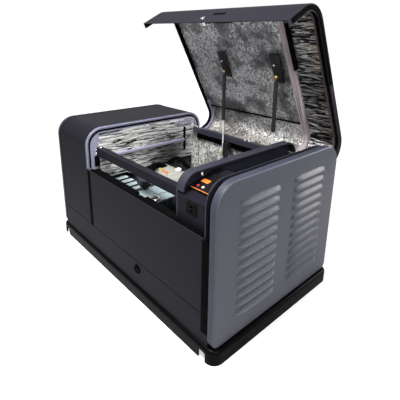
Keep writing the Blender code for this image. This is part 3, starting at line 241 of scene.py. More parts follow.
def cut(piece, tool):
    trim = piece.modifiers.new("cut", "BOOLEAN")
    trim.operation = "DIFFERENCE"
    trim.object = tool
    bpy.context.view_layer.objects.active = piece
    bpy.ops.object.modifier_apply(modifier=trim.name)
    bpy.data.objects.remove(tool, do_unlink=True)


gloss_black, shader, place = blank("black_gloss_paint", 0.28)
haze = place.node("ShaderNodeTexNoise", {}, {"Vector": place, "Scale": 5.0, "Detail": 4.0})
peel = place.node("ShaderNodeTexNoise", {}, {"Vector": place, "Scale": 420.0, "Detail": 1.0})
plug(shader, "Base Color", haze.blend((0.0010, 0.0010, 0.0012), (0.0024, 0.0024, 0.0028)))
plug(shader, "Roughness", 0.20 + haze * 0.16)
plug(shader, "Normal", place.node("ShaderNodeBump", {}, {"Strength": 0.10, "Distance": 0.0006,
                                                          "Height": peel}))
shader.inputs["Specular IOR Level"].default_value = 0.05

low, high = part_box("base_tray")
tray = slab(low, high)
choose(tray, "EDGE", lambda a, b: abs(a.z - b.z) > 0.03)
bpy.ops.mesh.bevel(offset=0.040, segments=14, affect="EDGES")
bpy.ops.object.mode_set(mode="OBJECT")
choose(tray, "EDGE", lambda a, b: min(a.z, b.z) > high.z - 1e-4)
bpy.ops.mesh.bevel(offset=0.012, segments=6, affect="EDGES")
bpy.ops.object.mode_set(mode="OBJECT")
choose(tray, "FACE", lambda normal, centre: normal.z < -0.9)
bpy.ops.mesh.inset(thickness=0.006)
bpy.ops.mesh.extrude_region_move(TRANSFORM_OT_translate={"value": (0.0, 0.0, 0.048)})
bpy.ops.object.mode_set(mode="OBJECT")
for side in (-1, 1):
    for end in (-1, 1):
        middle = Vector((end * 0.540, side * 0.357, 0.0))
        tool = slab(middle - Vector((0.017, 0.02, 0.02)), middle + Vector((0.017, 0.02, 0.036)))
        choose(tool, "EDGE", lambda a, b: min(a.z, b.z) > 0.03 and abs(a.y - b.y) > 0.02)
        bpy.ops.mesh.bevel(offset=0.009, segments=4, affect="EDGES")
        bpy.ops.object.mode_set(mode="OBJECT")
        cut(tray, tool)
clear()
tray.select_set(True)
bpy.context.view_layer.objects.active = tray
bpy.ops.object.shade_smooth_by_angle(angle=math.radians(30.0))
place_piece("tray", "enclosure", gloss_black, "base_tray")
slab((low.x + 0.006, -0.030, 0.0), (high.x - 0.006, 0.030, 0.049), 0.002)
place_piece("tray_runner", "enclosure", gloss_black)


# ------------------------------------------------------------------ painted sheet steel
# The hood, covers, lid and bars are folded sheet in a satin charcoal powder coat; the end
# pans are a lighter metallic grey, and the inner frames a pale blue-grey.
def powder_coat(name, dark, light, roughness, fleck=0.0, peel=0.12, shine=0.5):
    material, shader, place = blank(name, roughness)
    shader.inputs["Specular IOR Level"].default_value = shine
    cloud = place.node("ShaderNodeTexNoise", {}, {"Vector": place, "Scale": 2.6, "Detail": 3.0})
    grain = place.node("ShaderNodeTexNoise", {}, {"Vector": place, "Scale": 900.0, "Detail": 1.0})
    tone = cloud * (1.0 - fleck) + grain * fleck
    # Bevelled edges turn lighter: partly real edge wear, partly a painted highlight along each edge.
    plain = place.node("ShaderNodeNewGeometry", {}, {}, "Normal")
    rounded = place.node("ShaderNodeBevel", {}, {"Radius": 0.0022})
    flush = place.node("ShaderNodeVectorMath", {"operation": "DOT_PRODUCT"}, {0: plain, 1: rounded}, 1)
    rub_and_highlight = place.node("ShaderNodeMapRange", {}, {"Value": flush - 0.03 * cloud, "From Min": 0.955,
                                                "From Max": 0.86, "To Min": 0.0, "To Max": 0.6})
    worn_and_highlight_colour = [min(1.0, 0.015 + 1.8 * channel) for channel in light]
    painted = tone.blend(dark, light)
    plug(shader, "Base Color", place.node("ShaderNodeMix", {"data_type": "RGBA"},
                                          {0: rub_and_highlight, 6: painted, 7: (*worn_and_highlight_colour, 1.0)}, 2))
    plug(shader, "Roughness", roughness - 0.06 + cloud * 0.12)
    plug(shader, "Normal", place.node("ShaderNodeBump", {}, {
        "Strength": peel, "Distance": 0.0005, "Height": grain}))
    return material


def dress(material, *nodes, edge=0.0008):
    """Gives CAD nodes that keep their own shape a finish and softened edges."""
    for node in nodes:
        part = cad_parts[node]
        part.data.materials.clear()
        part.data.materials.append(material)
        for face in part.data.polygons:
            face.use_smooth = True
        weld = part.modifiers.new("weld", "WELD")
        weld.merge_threshold = 0.00002
        rim = part.modifiers.new("rim", "BEVEL")
        rim.width = edge
        rim.segments = 2
        rim.limit_method = "ANGLE"
        rim.angle_limit = math.radians(30.0)
        even = part.modifiers.new("even", "WEIGHTED_NORMAL")
        even.keep_sharp = True


charcoal = powder_coat("charcoal_powder_coat", (0.0100, 0.0098, 0.0150),
                       (0.0145, 0.0138, 0.0198), 0.44, shine=0.06)
pale = powder_coat("pale_inner_paint", (0.26, 0.26, 0.36), (0.33, 0.33, 0.43), 0.38)
slate = powder_coat("slate_inner_paint", (0.025, 0.025, 0.038), (0.035, 0.035, 0.050), 0.34, shine=0.30)
dress(charcoal, "hood_shell", "front_panel", "front_sill", "rear_panel", "lid_shell")
dress(pale, "hood_edge_frame")
dress(slate, "partition", "hinge_rail", "end_frame")
dress(charcoal, "cross_bar", "control_box")


# ------------------------------------------------------------------ louvred end pans
# Each end is a deep-drawn pan with generous corners. Two columns of louvres are pressed
# out of its face, each a long hooded bulge over its own slot. The slot is a strip painted
# black as its shade, the louvres carry painted light and shade, and the pan's sides a painted shade.
def follow(line):
    """A function from a share of the line's length to the (y, z) place there."""
    steps = [0.0]
    for a, b in zip(line, line[1:]):
        steps.append(steps[-1] + math.dist(a, b))

    def at(share):
        run = min(max(share, 0.0), 1.0) * steps[-1]
        for i in range(len(line) - 1):
            if run <= steps[i + 1] or i == len(line) - 2:
                t = (run - steps[i]) / max(steps[i + 1] - steps[i], 1e-9)
                return (line[i][0] + (line[i + 1][0] - line[i][0]) * t,
                        line[i][1] + (line[i + 1][1] - line[i][1]) * t)
    return at


def louvre(y, z, face, side):
    """One hooded bulge: a sharp lower lip over a strip painted black as its slot's shade, fading
    into the face above; painted light and shade ride on it as a point attribute.
    """
    half, tall, proud, underside = 0.106, 0.0245, 0.0125, 0.10
    # Painted light: the front column is painted lighter than the rear one, and each bulge's right-hand
    # tip gets a painted highlight.
    front_column_light, rear_column_light, tip_highlight = 1.15, 0.55, 1.3
    shine = front_column_light if y < 0 else rear_column_light
    clear()
    bpy.ops.mesh.primitive_grid_add(x_subdivisions=28, y_subdivisions=14, size=2.0)
    bulge = bpy.context.object
    bulge.data.materials.append(pan_fleck)
    bulge.data.materials.append(slot_shade_and_black_end)
    # The strip under each lip is painted black as the slot's shade; no slot is cut.
    for strip in bulge.data.polygons:
        if strip.center.y < -0.72 and abs(strip.center.x) < 0.90:
            strip.material_index = 1
    # Painted light and shade as a point attribute: bright along the lip, darker where the bulge fades
    # into the face above.
    crest = bulge.data.attributes.new("crest", "FLOAT", "POINT")
    for point in bulge.data.vertices:
        u, v = point.co.x, point.co.y
        round_end = math.sqrt(max(0.0, 1.0 - abs(u) ** 4.0))
        rise = ((v + 1.0) / 2.0) ** 1.4
        lip = min(1.0, rise / underside)
        fade = math.cos(math.pi / 2 * max(0.0, rise - underside) / (1.0 - underside)) ** 1.3
        out = proud * round_end * lip * fade - 0.0004
        tip = min(1.0, max(0.0, (u - 0.76) / 0.14)) * min(1.0, max(0.0, (1.02 - u) / 0.06))
        along = shine * fade * (0.55 + 0.45 * round_end)
        crest.data[point.index].value = along + tip_highlight * tip * fade ** 2
        lift = rise * tall * (0.5 + 0.5 * round_end) + 0.004 * (1.0 - round_end)
        point.co = (face + side * out, y + u * half, z - 0.010 + lift)
    if side < 0:
        bpy.ops.object.mode_set(mode="EDIT")
        bpy.ops.mesh.select_all(action="SELECT")
        bpy.ops.mesh.flip_normals()
        bpy.ops.object.mode_set(mode="OBJECT")
    return bulge


pan_grey = powder_coat("metallic_grey_coat", (0.062, 0.062, 0.084), (0.096, 0.097, 0.125), 0.38,
                       fleck=0.5, peel=0.25, shine=0.3)
# A darker copy of the pan paint for its sides: a painted shade.
shaded_pan_side = powder_coat("pan_side_painted_shade", (0.036, 0.038, 0.057), (0.056, 0.058, 0.082), 0.40,
                       fleck=0.3, shine=0.2)
# The louvre paint's lightness follows the painted light and shade attribute; the fleck is the coat's
# own.
pan_fleck, shader, place = blank("flecked_grey_coat", 0.36)
stars = place.node("ShaderNodeTexNoise", {}, {"Vector": place, "Scale": 420.0, "Detail": 2.0})
sparkle = place.node("ShaderNodeMapRange", {}, {"Value": stars, "From Min": 0.44, "From Max": 0.66})
louvre_light = place.node("ShaderNodeAttribute", {"attribute_name": "crest"}, {}, 2)
shown = louvre_light * (0.22 + 0.78 * sparkle)
plug(shader, "Base Color", shown.blend((0.034, 0.036, 0.050), (0.225, 0.235, 0.270)))
plug(shader, "Roughness", 0.44 - 0.16 * sparkle)
plug(shader, "Normal", place.node("ShaderNodeBump", {}, {"Strength": 0.4, "Distance": 0.0006,
                                                          "Height": stars}))
slot_shade_and_black_end, shader, place = blank("painted_slot_shade_and_black_end", 0.9)
soot = place.node("ShaderNodeTexNoise", {}, {"Vector": place, "Scale": 60.0})
plug(shader, "Base Color", soot.blend((0.004, 0.004, 0.004), (0.008, 0.008, 0.008)))
body_side, body_top, corner_bend = 0.350, 0.640, 0.085
pan_face, pan_back, pan_gauge = 0.585, 0.557, 0.0025
top_louvre, louvre_pitch, louvre_rows = 0.556, 0.037, 12
for node, side in (("right_end_panel", 1), ("left_end_panel", -1)):
    low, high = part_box(node)
    face = side * pan_face
    back_x = side * pan_back
    clear()
    pan = slab((min(face, back_x), -body_side, low.z), (max(face, back_x), body_side, high.z))
    choose(pan, "EDGE", lambda a, b: abs(a.x - b.x) > 0.02 and min(a.z, b.z) > 0.5)
    bpy.ops.mesh.bevel(offset=corner_bend, segments=16, affect="EDGES")
    bpy.ops.object.mode_set(mode="OBJECT")
    choose(pan, "EDGE", lambda a, b: abs(a.x - b.x) > 0.02 and max(a.z, b.z) < 0.08 and abs(a.y) > 0.34)
    bpy.ops.mesh.bevel(offset=0.028, segments=8, affect="EDGES")
    bpy.ops.object.mode_set(mode="OBJECT")
    choose(pan, "EDGE", lambda a, b: abs(a.x - face) < 1e-4 and abs(b.x - face) < 1e-4)
    bpy.ops.mesh.bevel(offset=0.007, segments=5, affect="EDGES")
    bpy.ops.object.mode_set(mode="OBJECT")
    choose(pan, "FACE", lambda normal, centre: normal.x * side < -0.9)
    bpy.ops.mesh.delete(type="FACE")
    bpy.ops.object.mode_set(mode="OBJECT")
    wall = pan.modifiers.new("wall", "SOLIDIFY")
    wall.thickness = pan_gauge
    wall.offset = -1.0
    bpy.ops.object.modifier_apply(modifier=wall.name)
    pan.data.materials.append(pan_grey)
    pan.data.materials.append(shaded_pan_side)
    # The pan's sides take the painted-shade copy of the pan paint.
    for panel in pan.data.polygons:
        if abs(panel.normal.x) < 0.2:
            panel.material_index = 1
    bulges = []
    for column in (-0.146, 0.146):
        for row in range(louvre_rows):
            z = top_louvre - row * louvre_pitch
            bulges.append(louvre(column, z, face, side))
    clear()
    pan.select_set(True)
    for bulge in bulges:
        bulge.select_set(True)
    bpy.context.view_layer.objects.active = pan
    bpy.ops.object.join()
    bpy.ops.object.shade_smooth_by_angle(angle=math.radians(50.0))
    place_piece(node + "_pan", "enclosure", None, node)


# ------------------------------------------------------------------ rubber seals and beads
# Black rubber and foam strips are glued or pushed on: round the hood mouth, behind the
# front panel, beside the end frame and along the lid's side flanges.
def roof(inset, front_foot, rear_foot, steps=14):
    """The section's line of (y, z) places, over the roof from the front foot to the rear."""
    bend = corner_bend - inset
    side, top = body_side - inset, body_top - inset
    line = [(-side, front_foot)]
    for i in range(steps + 1):
        t = math.pi - math.pi / 2 * i / steps
        line.append((-side + bend + bend * math.cos(t), top - bend + bend * math.sin(t)))
    for i in range(steps + 1):
        t = math.pi / 2 - math.pi / 2 * i / steps
        line.append((side - bend + bend * math.cos(t), top - bend + bend * math.sin(t)))
    return line + [(side, rear_foot)]


def bead(name, body, material, points, radius, sides=3, rib=0.0, nodes=()):
    """A round bead, wire or ribbed hose through points, made a mesh with closed ends."""
    clear()
    line = bpy.data.curves.new(name, "CURVE")
    line.dimensions = "3D"
    line.bevel_depth = radius
    line.bevel_resolution = sides
    line.use_fill_caps = True
    run = line.splines.new("POLY")
    run.points.add(len(points) - 1)
    for knot, point in zip(run.points, points):
        knot.co = (*point, 1.0)
    for number, knot in enumerate(run.points):
        knot.radius = 1.0 + rib * (number % 4 > 1)
    carrier = bpy.data.objects.new(name, line)
    bpy.context.scene.collection.objects.link(carrier)
    carrier.select_set(True)
    bpy.context.view_layer.objects.active = carrier
    bpy.ops.object.convert(target="MESH")
    bpy.ops.object.mode_set(mode="EDIT")
    bpy.ops.mesh.select_all(action="SELECT")
    bpy.ops.mesh.remove_doubles(threshold=0.00002)
    bpy.ops.object.mode_set(mode="OBJECT")
    bpy.ops.object.shade_smooth_by_angle(angle=math.radians(50.0))
    return place_piece(name, body, material, *nodes)


lip_paint = powder_coat("bright_lip_paint", (0.20, 0.20, 0.30), (0.27, 0.27, 0.38), 0.30)
rubber, shader, place = blank("black_rubber", 0.75)
shader.inputs["Specular IOR Level"].default_value = 0.02
bloom = place.node("ShaderNodeTexNoise", {}, {"Vector": place, "Scale": 14.0, "Detail": 3.0})
pores = place.node("ShaderNodeTexVoronoi", {}, {"Vector": place, "Scale": 700.0})
plug(shader, "Base Color", bloom.blend((0.0012, 0.0012, 0.0012), (0.0035, 0.0035, 0.0038)))
plug(shader, "Roughness", 0.62 + bloom * 0.25)
plug(shader, "Normal", place.node("ShaderNodeBump", {}, {"Strength": 0.25, "Distance": 0.0006,
                                                          "Height": pores}))
dress(rubber, "front_panel_seal", "side_seal", "end_seal",
      "engine_mount_1", "engine_mount_2", "engine_mount_3", "engine_mount_4")
hood_edge = -0.2625
bead("hood_lip", "enclosure", lip_paint,
     [(hood_edge - 0.0038, y, z) for y, z in roof(0.0058, 0.453, 0.512)], 0.0062, 5)
bead("hood_gasket", "enclosure", rubber,
     [(hood_edge - 0.0024, y, z) for y, z in roof(0.0170, 0.453, 0.512)], 0.0050, 4)
bead("left_pan_seam", "enclosure", rubber,
     [(-0.5568, y, z) for y, z in roof(-0.0002, 0.058, 0.058)], 0.0013, 2)
slab((-0.5560, -0.3506, 0.1688), (0.5280, -0.3480, 0.1706), 0.0003)
place_piece("sill_seam", "enclosure", rubber)
bead("panel_top_roll", "enclosure", charcoal,
     [(-0.2395, -0.3470, 0.4474), (0.5250, -0.3470, 0.4474)], 0.0033, 4)
slab((0.5235, -0.3512, 0.1000), (0.5560, -0.3480, 0.4440), 0.001)
place_piece("right_side_strip", "enclosure", rubber)
for name, low, high, finish in (
        ("panel_back_strip_left", (-0.2390, -0.3440, 0.4380), (0.1060, -0.3060, 0.4520), rubber),
        ("panel_back_strip_lock", (0.1060, -0.3440, 0.4200), (0.1640, -0.3060, 0.4410), rubber),
        ("panel_back_strip_right", (0.1640, -0.3440, 0.4380), (0.5260, -0.3060, 0.4520), rubber),
        ("panel_left_strip", (-0.2640, -0.3512, 0.1710), (-0.2385, -0.3480, 0.4440), rubber),
        ("box_foot_strip", (0.3660, -0.3440, 0.4300), (0.5260, -0.3255, 0.4560), rubber),
        ("rear_weather_strip", (-0.2540, 0.3225, 0.4850), (0.5270, 0.3260, 0.5530), rubber),
        ("mouth_front_block", (-0.2628, -0.3120, 0.4560), (-0.2560, -0.2920, 0.5060), rubber),
        ("mouth_rear_bracket", (-0.2640, 0.1900, 0.5660), (-0.2592, 0.2800, 0.6100), pale),
        ("mouth_rear_stay", (-0.2628, 0.2250, 0.4300), (-0.2560, 0.2380, 0.5640), rubber),
        ("bulkhead_rail", (-0.2628, -0.2900, 0.4880), (-0.2480, 0.2250, 0.5010), pale)):
    slab(low, high, 0.0015)
    place_piece(name, "enclosure", finish)
clear()
bpy.ops.mesh.primitive_torus_add(major_radius=0.0165, minor_radius=0.0035, major_segments=36,
                                 minor_segments=10, location=(0.140, -0.3510, 0.1330),
                                 rotation=(math.pi / 2, 0.0, 0.0))
bpy.ops.object.shade_smooth()
place_piece("sill_grommet", "enclosure", rubber)


# ------------------------------------------------------------------ foil-faced linings
# Aluminium foil on foam, hand-fitted and crumpled: long level creases on the bulkhead,
# random crinkles on the rear wall and the lid, pleats round the lid's rear bend.
def foil(name, stretch, bright=(0.96, 0.95, 0.92), dark=(0.035, 0.035, 0.040), bias=0.45,
         warm=None, shade=0.75, metal=0.85, crinkle=0.0, base=0.2, painted_shade_spot=None):
    """Crumpled foil whose bright and dark facets are a painted reflection, with shade setting how
    dark its painted shade patches go. A crinkle scale adds fine painted highlights along the
    creases; painted_shade_spot is (place, near, far) and paints shade near a place; warm is
    (axis, from, to, colour) and tints a zone."""
    material, shader, place = blank(name, 0.25, metal)
    spread = place.node("ShaderNodeMapping", {}, {"Vector": place, "Scale": stretch})
    creases = place.node("ShaderNodeTexNoise", {"noise_type": "RIDGED_MULTIFRACTAL"},
                         {"Vector": spread, "Scale": 1.0, "Detail": 5.0, "Roughness": 0.6,
                          "Lacunarity": 2.2})
    facets = place.node("ShaderNodeTexNoise", {}, {"Vector": spread, "Scale": 1.3, "Detail": 4.0,
                                                   "Roughness": 0.65, "Distortion": 0.9})
    # Painted reflection: the facets' bright and dark tones.
    tone = place.node("ShaderNodeValToRGB", {"stops": [(bias - 0.045, (0, 0, 0, 1)),
                                                       (bias + 0.01, (0.40, 0.40, 0.40, 1)),
                                                       (bias + 0.055, (1, 1, 1, 1))]},
                      {"Fac": facets})
    cloud = place.node("ShaderNodeTexNoise", {}, {"Vector": place, "Scale": 5.5, "Detail": 2.0})
    painted_shade_patch = place.node("ShaderNodeMapRange", {}, {"Value": cloud, "From Min": 0.36,
                                                  "From Max": 0.62, "To Min": shade, "To Max": 1.0})
    # Painted highlights: fine bright threads along the crinkle edges, in scattered zones.
    if crinkle:
        wander = place.node("ShaderNodeTexNoise", {}, {"Vector": place, "Scale": 60.0, "Detail": 3.0}, 1)
        pushed = place.node("ShaderNodeVectorMath", {"operation": "MULTIPLY_ADD"},
                            {0: wander, 1: (0.05, 0.05, 0.05), 2: place})
        drawn_out = place.node("ShaderNodeMapping", {}, {"Vector": pushed, "Scale": (1.35, 0.65, 0.65)})
        cells = place.node("ShaderNodeTexVoronoi", {"feature": "DISTANCE_TO_EDGE"},
                           {"Vector": drawn_out, "Scale": crinkle})
        crinkle_highlight = place.node("ShaderNodeMapRange", {}, {"Value": cells, "From Min": 0.02,
                                                       "From Max": 0.12, "To Min": 1.0, "To Max": 0.0})
        zone = place.node("ShaderNodeTexNoise", {}, {"Vector": place, "Scale": 11.0, "Detail": 3.0})
        busy = place.node("ShaderNodeMapRange", {}, {"Value": zone, "From Min": 0.38, "From Max": 0.60})
        tone = base + 0.30 * tone + busy * (0.12 + 1.60 * crinkle_highlight)
    # Painted shade: the foil darkens near the given place.
    if painted_shade_spot:
        spot, near, reach = painted_shade_spot
        gap = place.node("ShaderNodeVectorMath", {"operation": "DISTANCE"}, {0: place, 1: spot}, 1)
        tone = tone * place.node("ShaderNodeMapRange", {}, {"Value": gap, "From Min": near,
                                                            "From Max": reach, "To Min": 0.12})
    colour = (tone * painted_shade_patch).blend(dark, bright)
    if warm:
        axis, start, end, stain = warm
        along = place.node("ShaderNodeSeparateXYZ", {}, {"Vector": place}, axis)
        amount = place.node("ShaderNodeMapRange", {}, {"Value": along, "From Min": start,
                                                       "From Max": end})
        colour = place.node("ShaderNodeMix", {"data_type": "RGBA", "blend_type": "MULTIPLY"},
                            {0: amount, 6: colour, 7: (*stain, 1.0)}, 2)
    plug(shader, "Base Color", colour)
    plug(shader, "Roughness", 0.36 - 0.14 * facets)
    plug(shader, "Normal", place.node("ShaderNodeBump", {}, {
        "Strength": 0.9, "Distance": 0.003, "Height": creases + facets * 0.8}))
    return material


def foil_sheet(x0, x1, line, columns, rows, depth, stretch, seed):
    """A crumpled sheet across x0 to x1 whose section follows a line of (y, z) places."""
    clear()
    bpy.ops.mesh.primitive_grid_add(x_subdivisions=columns, y_subdivisions=rows, size=2.0)
    sheet = bpy.context.object
    at = follow(line)
    for point in sheet.data.vertices:
        y, z = at((point.co.y + 1.0) / 2.0)
        point.co = (x0 + (x1 - x0) * (point.co.x + 1.0) / 2.0, y, z)
    bpy.ops.object.mode_set(mode="EDIT")
    bpy.ops.mesh.select_all(action="SELECT")
    bpy.ops.mesh.flip_normals()
    bpy.ops.object.mode_set(mode="OBJECT")
    sheet.data.update()
    shift = Vector((seed * 3.1, seed * 1.7, seed * 0.9))
    moves = []
    for point in sheet.data.vertices:
        spot = Vector((point.co.x * stretch[0], point.co.y * stretch[1], point.co.z * stretch[2]))
        ridge = noise.ridged_multi_fractal(spot + shift, 0.9, 2.1, 4, 1.0, 2.0)
        moves.append(point.co + point.normal * depth * (ridge / 1.6 - 0.5))
    for point, place in zip(sheet.data.vertices, moves):
        point.co = place
    bpy.ops.object.shade_smooth()
    return sheet


# The bulkhead foil gets a painted shade low down towards the rear, below the rail.
bulkhead_foil = foil("bulkhead_foil", (30.0, 8.0, 92.0), (1.0, 0.99, 0.97),
                     (0.010, 0.010, 0.011), 0.455, shade=0.80, metal=0.45,
                     painted_shade_spot=((-0.260, 0.120, 0.405), 0.05, 0.19))
wall_foil = foil("rear_wall_foil", (36.0, 36.0, 36.0), (1.0, 0.98, 0.94),
                 (0.010, 0.010, 0.011), 0.47, shade=0.70, metal=0.26, crinkle=46.0, base=0.10)


def upright(x, y0, y1, z0, z1, columns, rows, depth, stretch, seed):
    """A crumpled sheet standing across the set at x, facing +X."""
    clear()
    bpy.ops.mesh.primitive_grid_add(x_subdivisions=columns, y_subdivisions=rows, size=2.0)
    sheet = bpy.context.object
    shift = Vector((seed * 3.1, seed * 1.7, seed * 0.9))
    for point in sheet.data.vertices:
        y = y0 + (y1 - y0) * (point.co.x + 1.0) / 2.0
        z = z0 + (z1 - z0) * (point.co.y + 1.0) / 2.0
        limit = 0.057
        for side in (-1, 1):
            corner_y, corner_z = side * 0.265, 0.555
            if side * (y - corner_y) > 0 and z > corner_z:
                away = math.hypot(y - corner_y, z - corner_z)
                if away > limit:
                    y = corner_y + (y - corner_y) * limit / away
                    z = corner_z + (z - corner_z) * limit / away
        ridge = noise.ridged_multi_fractal(
            Vector((x, y * stretch[1], z * stretch[2])) + shift, 0.9, 2.1, 4, 1.0, 2.0)
        point.co = (x + depth * (ridge / 1.6 - 0.5), y, z)
    bpy.ops.object.shade_smooth()
    return sheet


upright(-0.2612, -0.284, 0.300, 0.388, 0.612, 160, 150, 0.0050, (1, 5.0, 55.0), 2.0)
place_piece("bulkhead_foil_face", "enclosure", bulkhead_foil)
upright(-0.2605, 0.2885, 0.3400, 0.180, 0.560, 24, 120, 0.0030, (1, 34.0, 34.0), 5.0)
place_piece("rear_corner_foil", "enclosure", wall_foil)
dress(bulkhead_foil, "hood_liner", edge=0.002)
dress(wall_foil, "rear_liner", edge=0.002)
foil_sheet(-0.257, 0.360, [(0.3405, 0.068), (0.3405, 0.492)], 150, 110, 0.004, (34, 34, 34), 4.0)
place_piece("rear_foil_face", "enclosure", wall_foil)


# ------------------------------------------------------------------ lid
# The lid is folded sheet lined with foil on foam, stiffened by a pressed rib and edged with
# rubber flange seals. Its pieces are laid out closed and then swung open together about
# the hinge line, as the gas struts hold it.
hinge_line = Vector((0.0, 0.3565, 0.505))
swing = (Matrix.Translation(hinge_line) @ Matrix.Rotation(math.radians(-62.0), 4, "X")
         @ Matrix.Translation(-hinge_line))


def swing_open():
    piece = bpy.context.object
    clear()
    piece.select_set(True)
    bpy.context.view_layer.objects.active = piece
    piece.matrix_world = swing @ piece.matrix_world
    return piece


main_foil = foil("lid_main_foil", (88.0, 40.0, 40.0), (0.96, 0.96, 0.98),
                 (0.045, 0.045, 0.052), 0.50, shade=0.42, metal=0.55, crinkle=54.0, base=0.15,
                 warm=(2, 0.64, 0.54, (1.0, 0.95, 0.85)))
side_foil = foil("lid_side_foil", (9.0, 74.0, 74.0), (0.95, 0.94, 0.92),
                 (0.008, 0.008, 0.009), 0.52, shade=0.45, metal=0.70,
                 warm=(0, 0.46, 0.53, (0.80, 0.60, 0.50)))
dress(main_foil, "lid_liner", edge=0.002)
foil_sheet(-0.2520, 0.366, roof(0.0098, 0.500, 0.530), 190, 260, 0.0028, (70, 34, 34), 6.0)
swing_open()
place_piece("lid_main_foil_face", "lid", main_foil)
foil_sheet(0.4035, 0.5245, roof(0.0098, 0.500, 0.530), 40, 260, 0.0035, (9, 70, 70), 8.0)
swing_open()
place_piece("lid_side_foil_face", "lid", side_foil)
# The rib's pinkish paint carries lengthwise stripes of painted highlight and shade.
rib_paint, shader, place = blank("rib_paint_with_painted_light_stripes", 0.32)
drawn = place.node("ShaderNodeMapping", {}, {"Vector": place, "Scale": (260.0, 5.0, 5.0)})
light_streak = place.node("ShaderNodeTexNoise", {}, {"Vector": drawn, "Scale": 1.0, "Detail": 3.0})
light_stripe = place.node("ShaderNodeValToRGB", {"stops": [(0.36, (0.17, 0.15, 0.19, 1)),
                                                     (0.50, (0.46, 0.39, 0.43, 1)),
                                                     (0.64, (0.72, 0.60, 0.58, 1))]}, {"Fac": light_streak})
plug(shader, "Base Color", light_stripe)
plug(shader, "Roughness", 0.42 - 0.2 * light_streak)
plug(shader, "Normal", place.node("ShaderNodeBump", {}, {"Strength": 0.5, "Distance": 0.0010,
                                                          "Height": light_streak}))
dress(rib_paint, "lid_rib", edge=0.0040)


def formed_strip(name, body, material, x0, x1, line, depth, edge=0.0015):
    """A strip bent along a line of (y, z) places, thickened inwards."""
    foil_sheet(x0, x1, line, 2, max(8, 2 * len(line)), 0.0, (1, 1, 1), 0.0)
    strip = swing_open()
    body_wall = strip.modifiers.new("wall", "SOLIDIFY")
    body_wall.thickness = depth
    body_wall.offset = 1.0
    bpy.ops.object.modifier_apply(modifier=body_wall.name)
    bpy.ops.object.transform_apply(location=True, rotation=True, scale=True)
    soften(strip, edge, 3, 60.0)
    return place_piece(name, body, material)


closed_line = roof(0.0100, 0.470, 0.522)
fore, aft = closed_line[:16] + [(0.0, 0.630)], [(0.0, 0.630)] + closed_line[16:]
formed_strip("right_flange_seal", "lid", rubber, 0.5318, 0.5462, fore, 0.014)
formed_strip("right_flange_strip", "lid", rubber, 0.5400, 0.5462, aft, 0.008)
outer = roof(0.0040, 0.470, 0.522)[:16] + [(0.0, 0.636)]
formed_strip("right_outer_seal", "lid", rubber, 0.5497, 0.5530, outer, 0.0165)
edge_dust = powder_coat("dusty_edge_paint", (0.060, 0.052, 0.055), (0.110, 0.095, 0.098), 0.45)
formed_strip("right_edge_channel", "lid", edge_dust, 0.5192, 0.5272, fore + aft[1:], 0.009)
formed_strip("left_flange_seal", "lid", rubber, -0.2552, -0.2440, fore, 0.012)
formed_strip("left_flange_strip", "lid", rubber, -0.2552, -0.2490, aft, 0.008)
formed_strip("rib_seal", "lid", rubber, 0.4035, 0.4145, closed_line[3:16] + [(-0.06, 0.630)], 0.020)
formed_strip("left_stiffener", "lid", lip_paint, -0.2430, -0.2260,
             [(0.200, 0.6280)] + roof(0.0120, 0.470, 0.530)[16:], 0.0070)
low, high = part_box("lid_rib")
for name, x in (("left", low.x + 0.0030), ("right", high.x - 0.0030)):
    bead("rib_bead_" + name, "lid", rib_paint,
         [swing @ Vector((x, y, z)) for y, z in roof(0.0213, 0.470, 0.5548)], 0.0030, 3)
bead("liner_strap", "lid", rubber,
     [swing @ Vector((x, 0.232, 0.6245)) for x in (-0.226, -0.10, 0.05, 0.20, 0.368)], 0.0042, 3)
slab((0.150, -0.3510, 0.514), (0.216, -0.3490, 0.530), 0.0006)
swing_open()
place_piece("flap_grip_recess", "lid", rubber)
for number, (x0, x1) in enumerate(((-0.245, -0.205), (0.200, 0.300))):
    slab((x0, -0.3468, 0.4580), (x1, -0.3400, 0.4680), 0.0012)
    swing_open()
    place_piece("flap_seal_%d" % number, "lid", rubber)


# ------------------------------------------------------------------ gas struts and brackets
# Two struts with black painted tubes, ground steel rods and brass ball sockets. Dark pressed
# plates screw them to the lid, and their feet stand on brackets under the hinge rail.
plain_black = powder_coat("bracket_black", (0.010, 0.010, 0.011), (0.018, 0.018, 0.020), 0.40)
chrome, shader, place = blank("chrome_plate", 0.12, 1.0)
smear = place.node("ShaderNodeTexNoise", {}, {"Vector": place, "Scale": 30.0, "Detail": 3.0})
plug(shader, "Base Color", smear.blend((0.72, 0.72, 0.73), (0.85, 0.85, 0.86)))
plug(shader, "Roughness", 0.07 + smear * 0.14)
brass, shader, place = blank("brass", 0.3, 1.0)
tarnish = place.node("ShaderNodeTexNoise", {}, {"Vector": place, "Scale": 90.0, "Detail": 3.0})
plug(shader, "Base Color", tarnish.blend((0.45, 0.27, 0.07), (0.83, 0.60, 0.26)))
plug(shader, "Roughness", 0.22 + tarnish * 0.2)
dress(plain_black, "strut_tube_left", "strut_tube_right", "strut_foot_left", "strut_foot_right",
      "strut_bracket_left", "strut_bracket_right", "front_rail", "rear_rail", edge=0.0005)
rod_steel = powder_coat("ground_rod_steel", (0.62, 0.62, 0.63), (0.80, 0.80, 0.81), 0.30)
dress(rod_steel, "strut_rod_left", "strut_rod_right", edge=0.0004)
dress(chrome, "fixed_hinge_leaf_left",
      "fixed_hinge_leaf_right", "lid_hinge_leaf_left", "lid_hinge_leaf_right",
      "lock_cylinder", edge=0.0004)


def copy_to(model, name, place, body, material):
    """One more of a modelled piece, with its own mesh, at a place."""
    piece = model.copy()
    piece.data = model.data.copy()
    bpy.context.scene.collection.objects.link(piece)
    piece.matrix_world = place
    clear()
    piece.select_set(True)
    bpy.context.view_layer.objects.active = piece
    return place_piece(name, body, material)


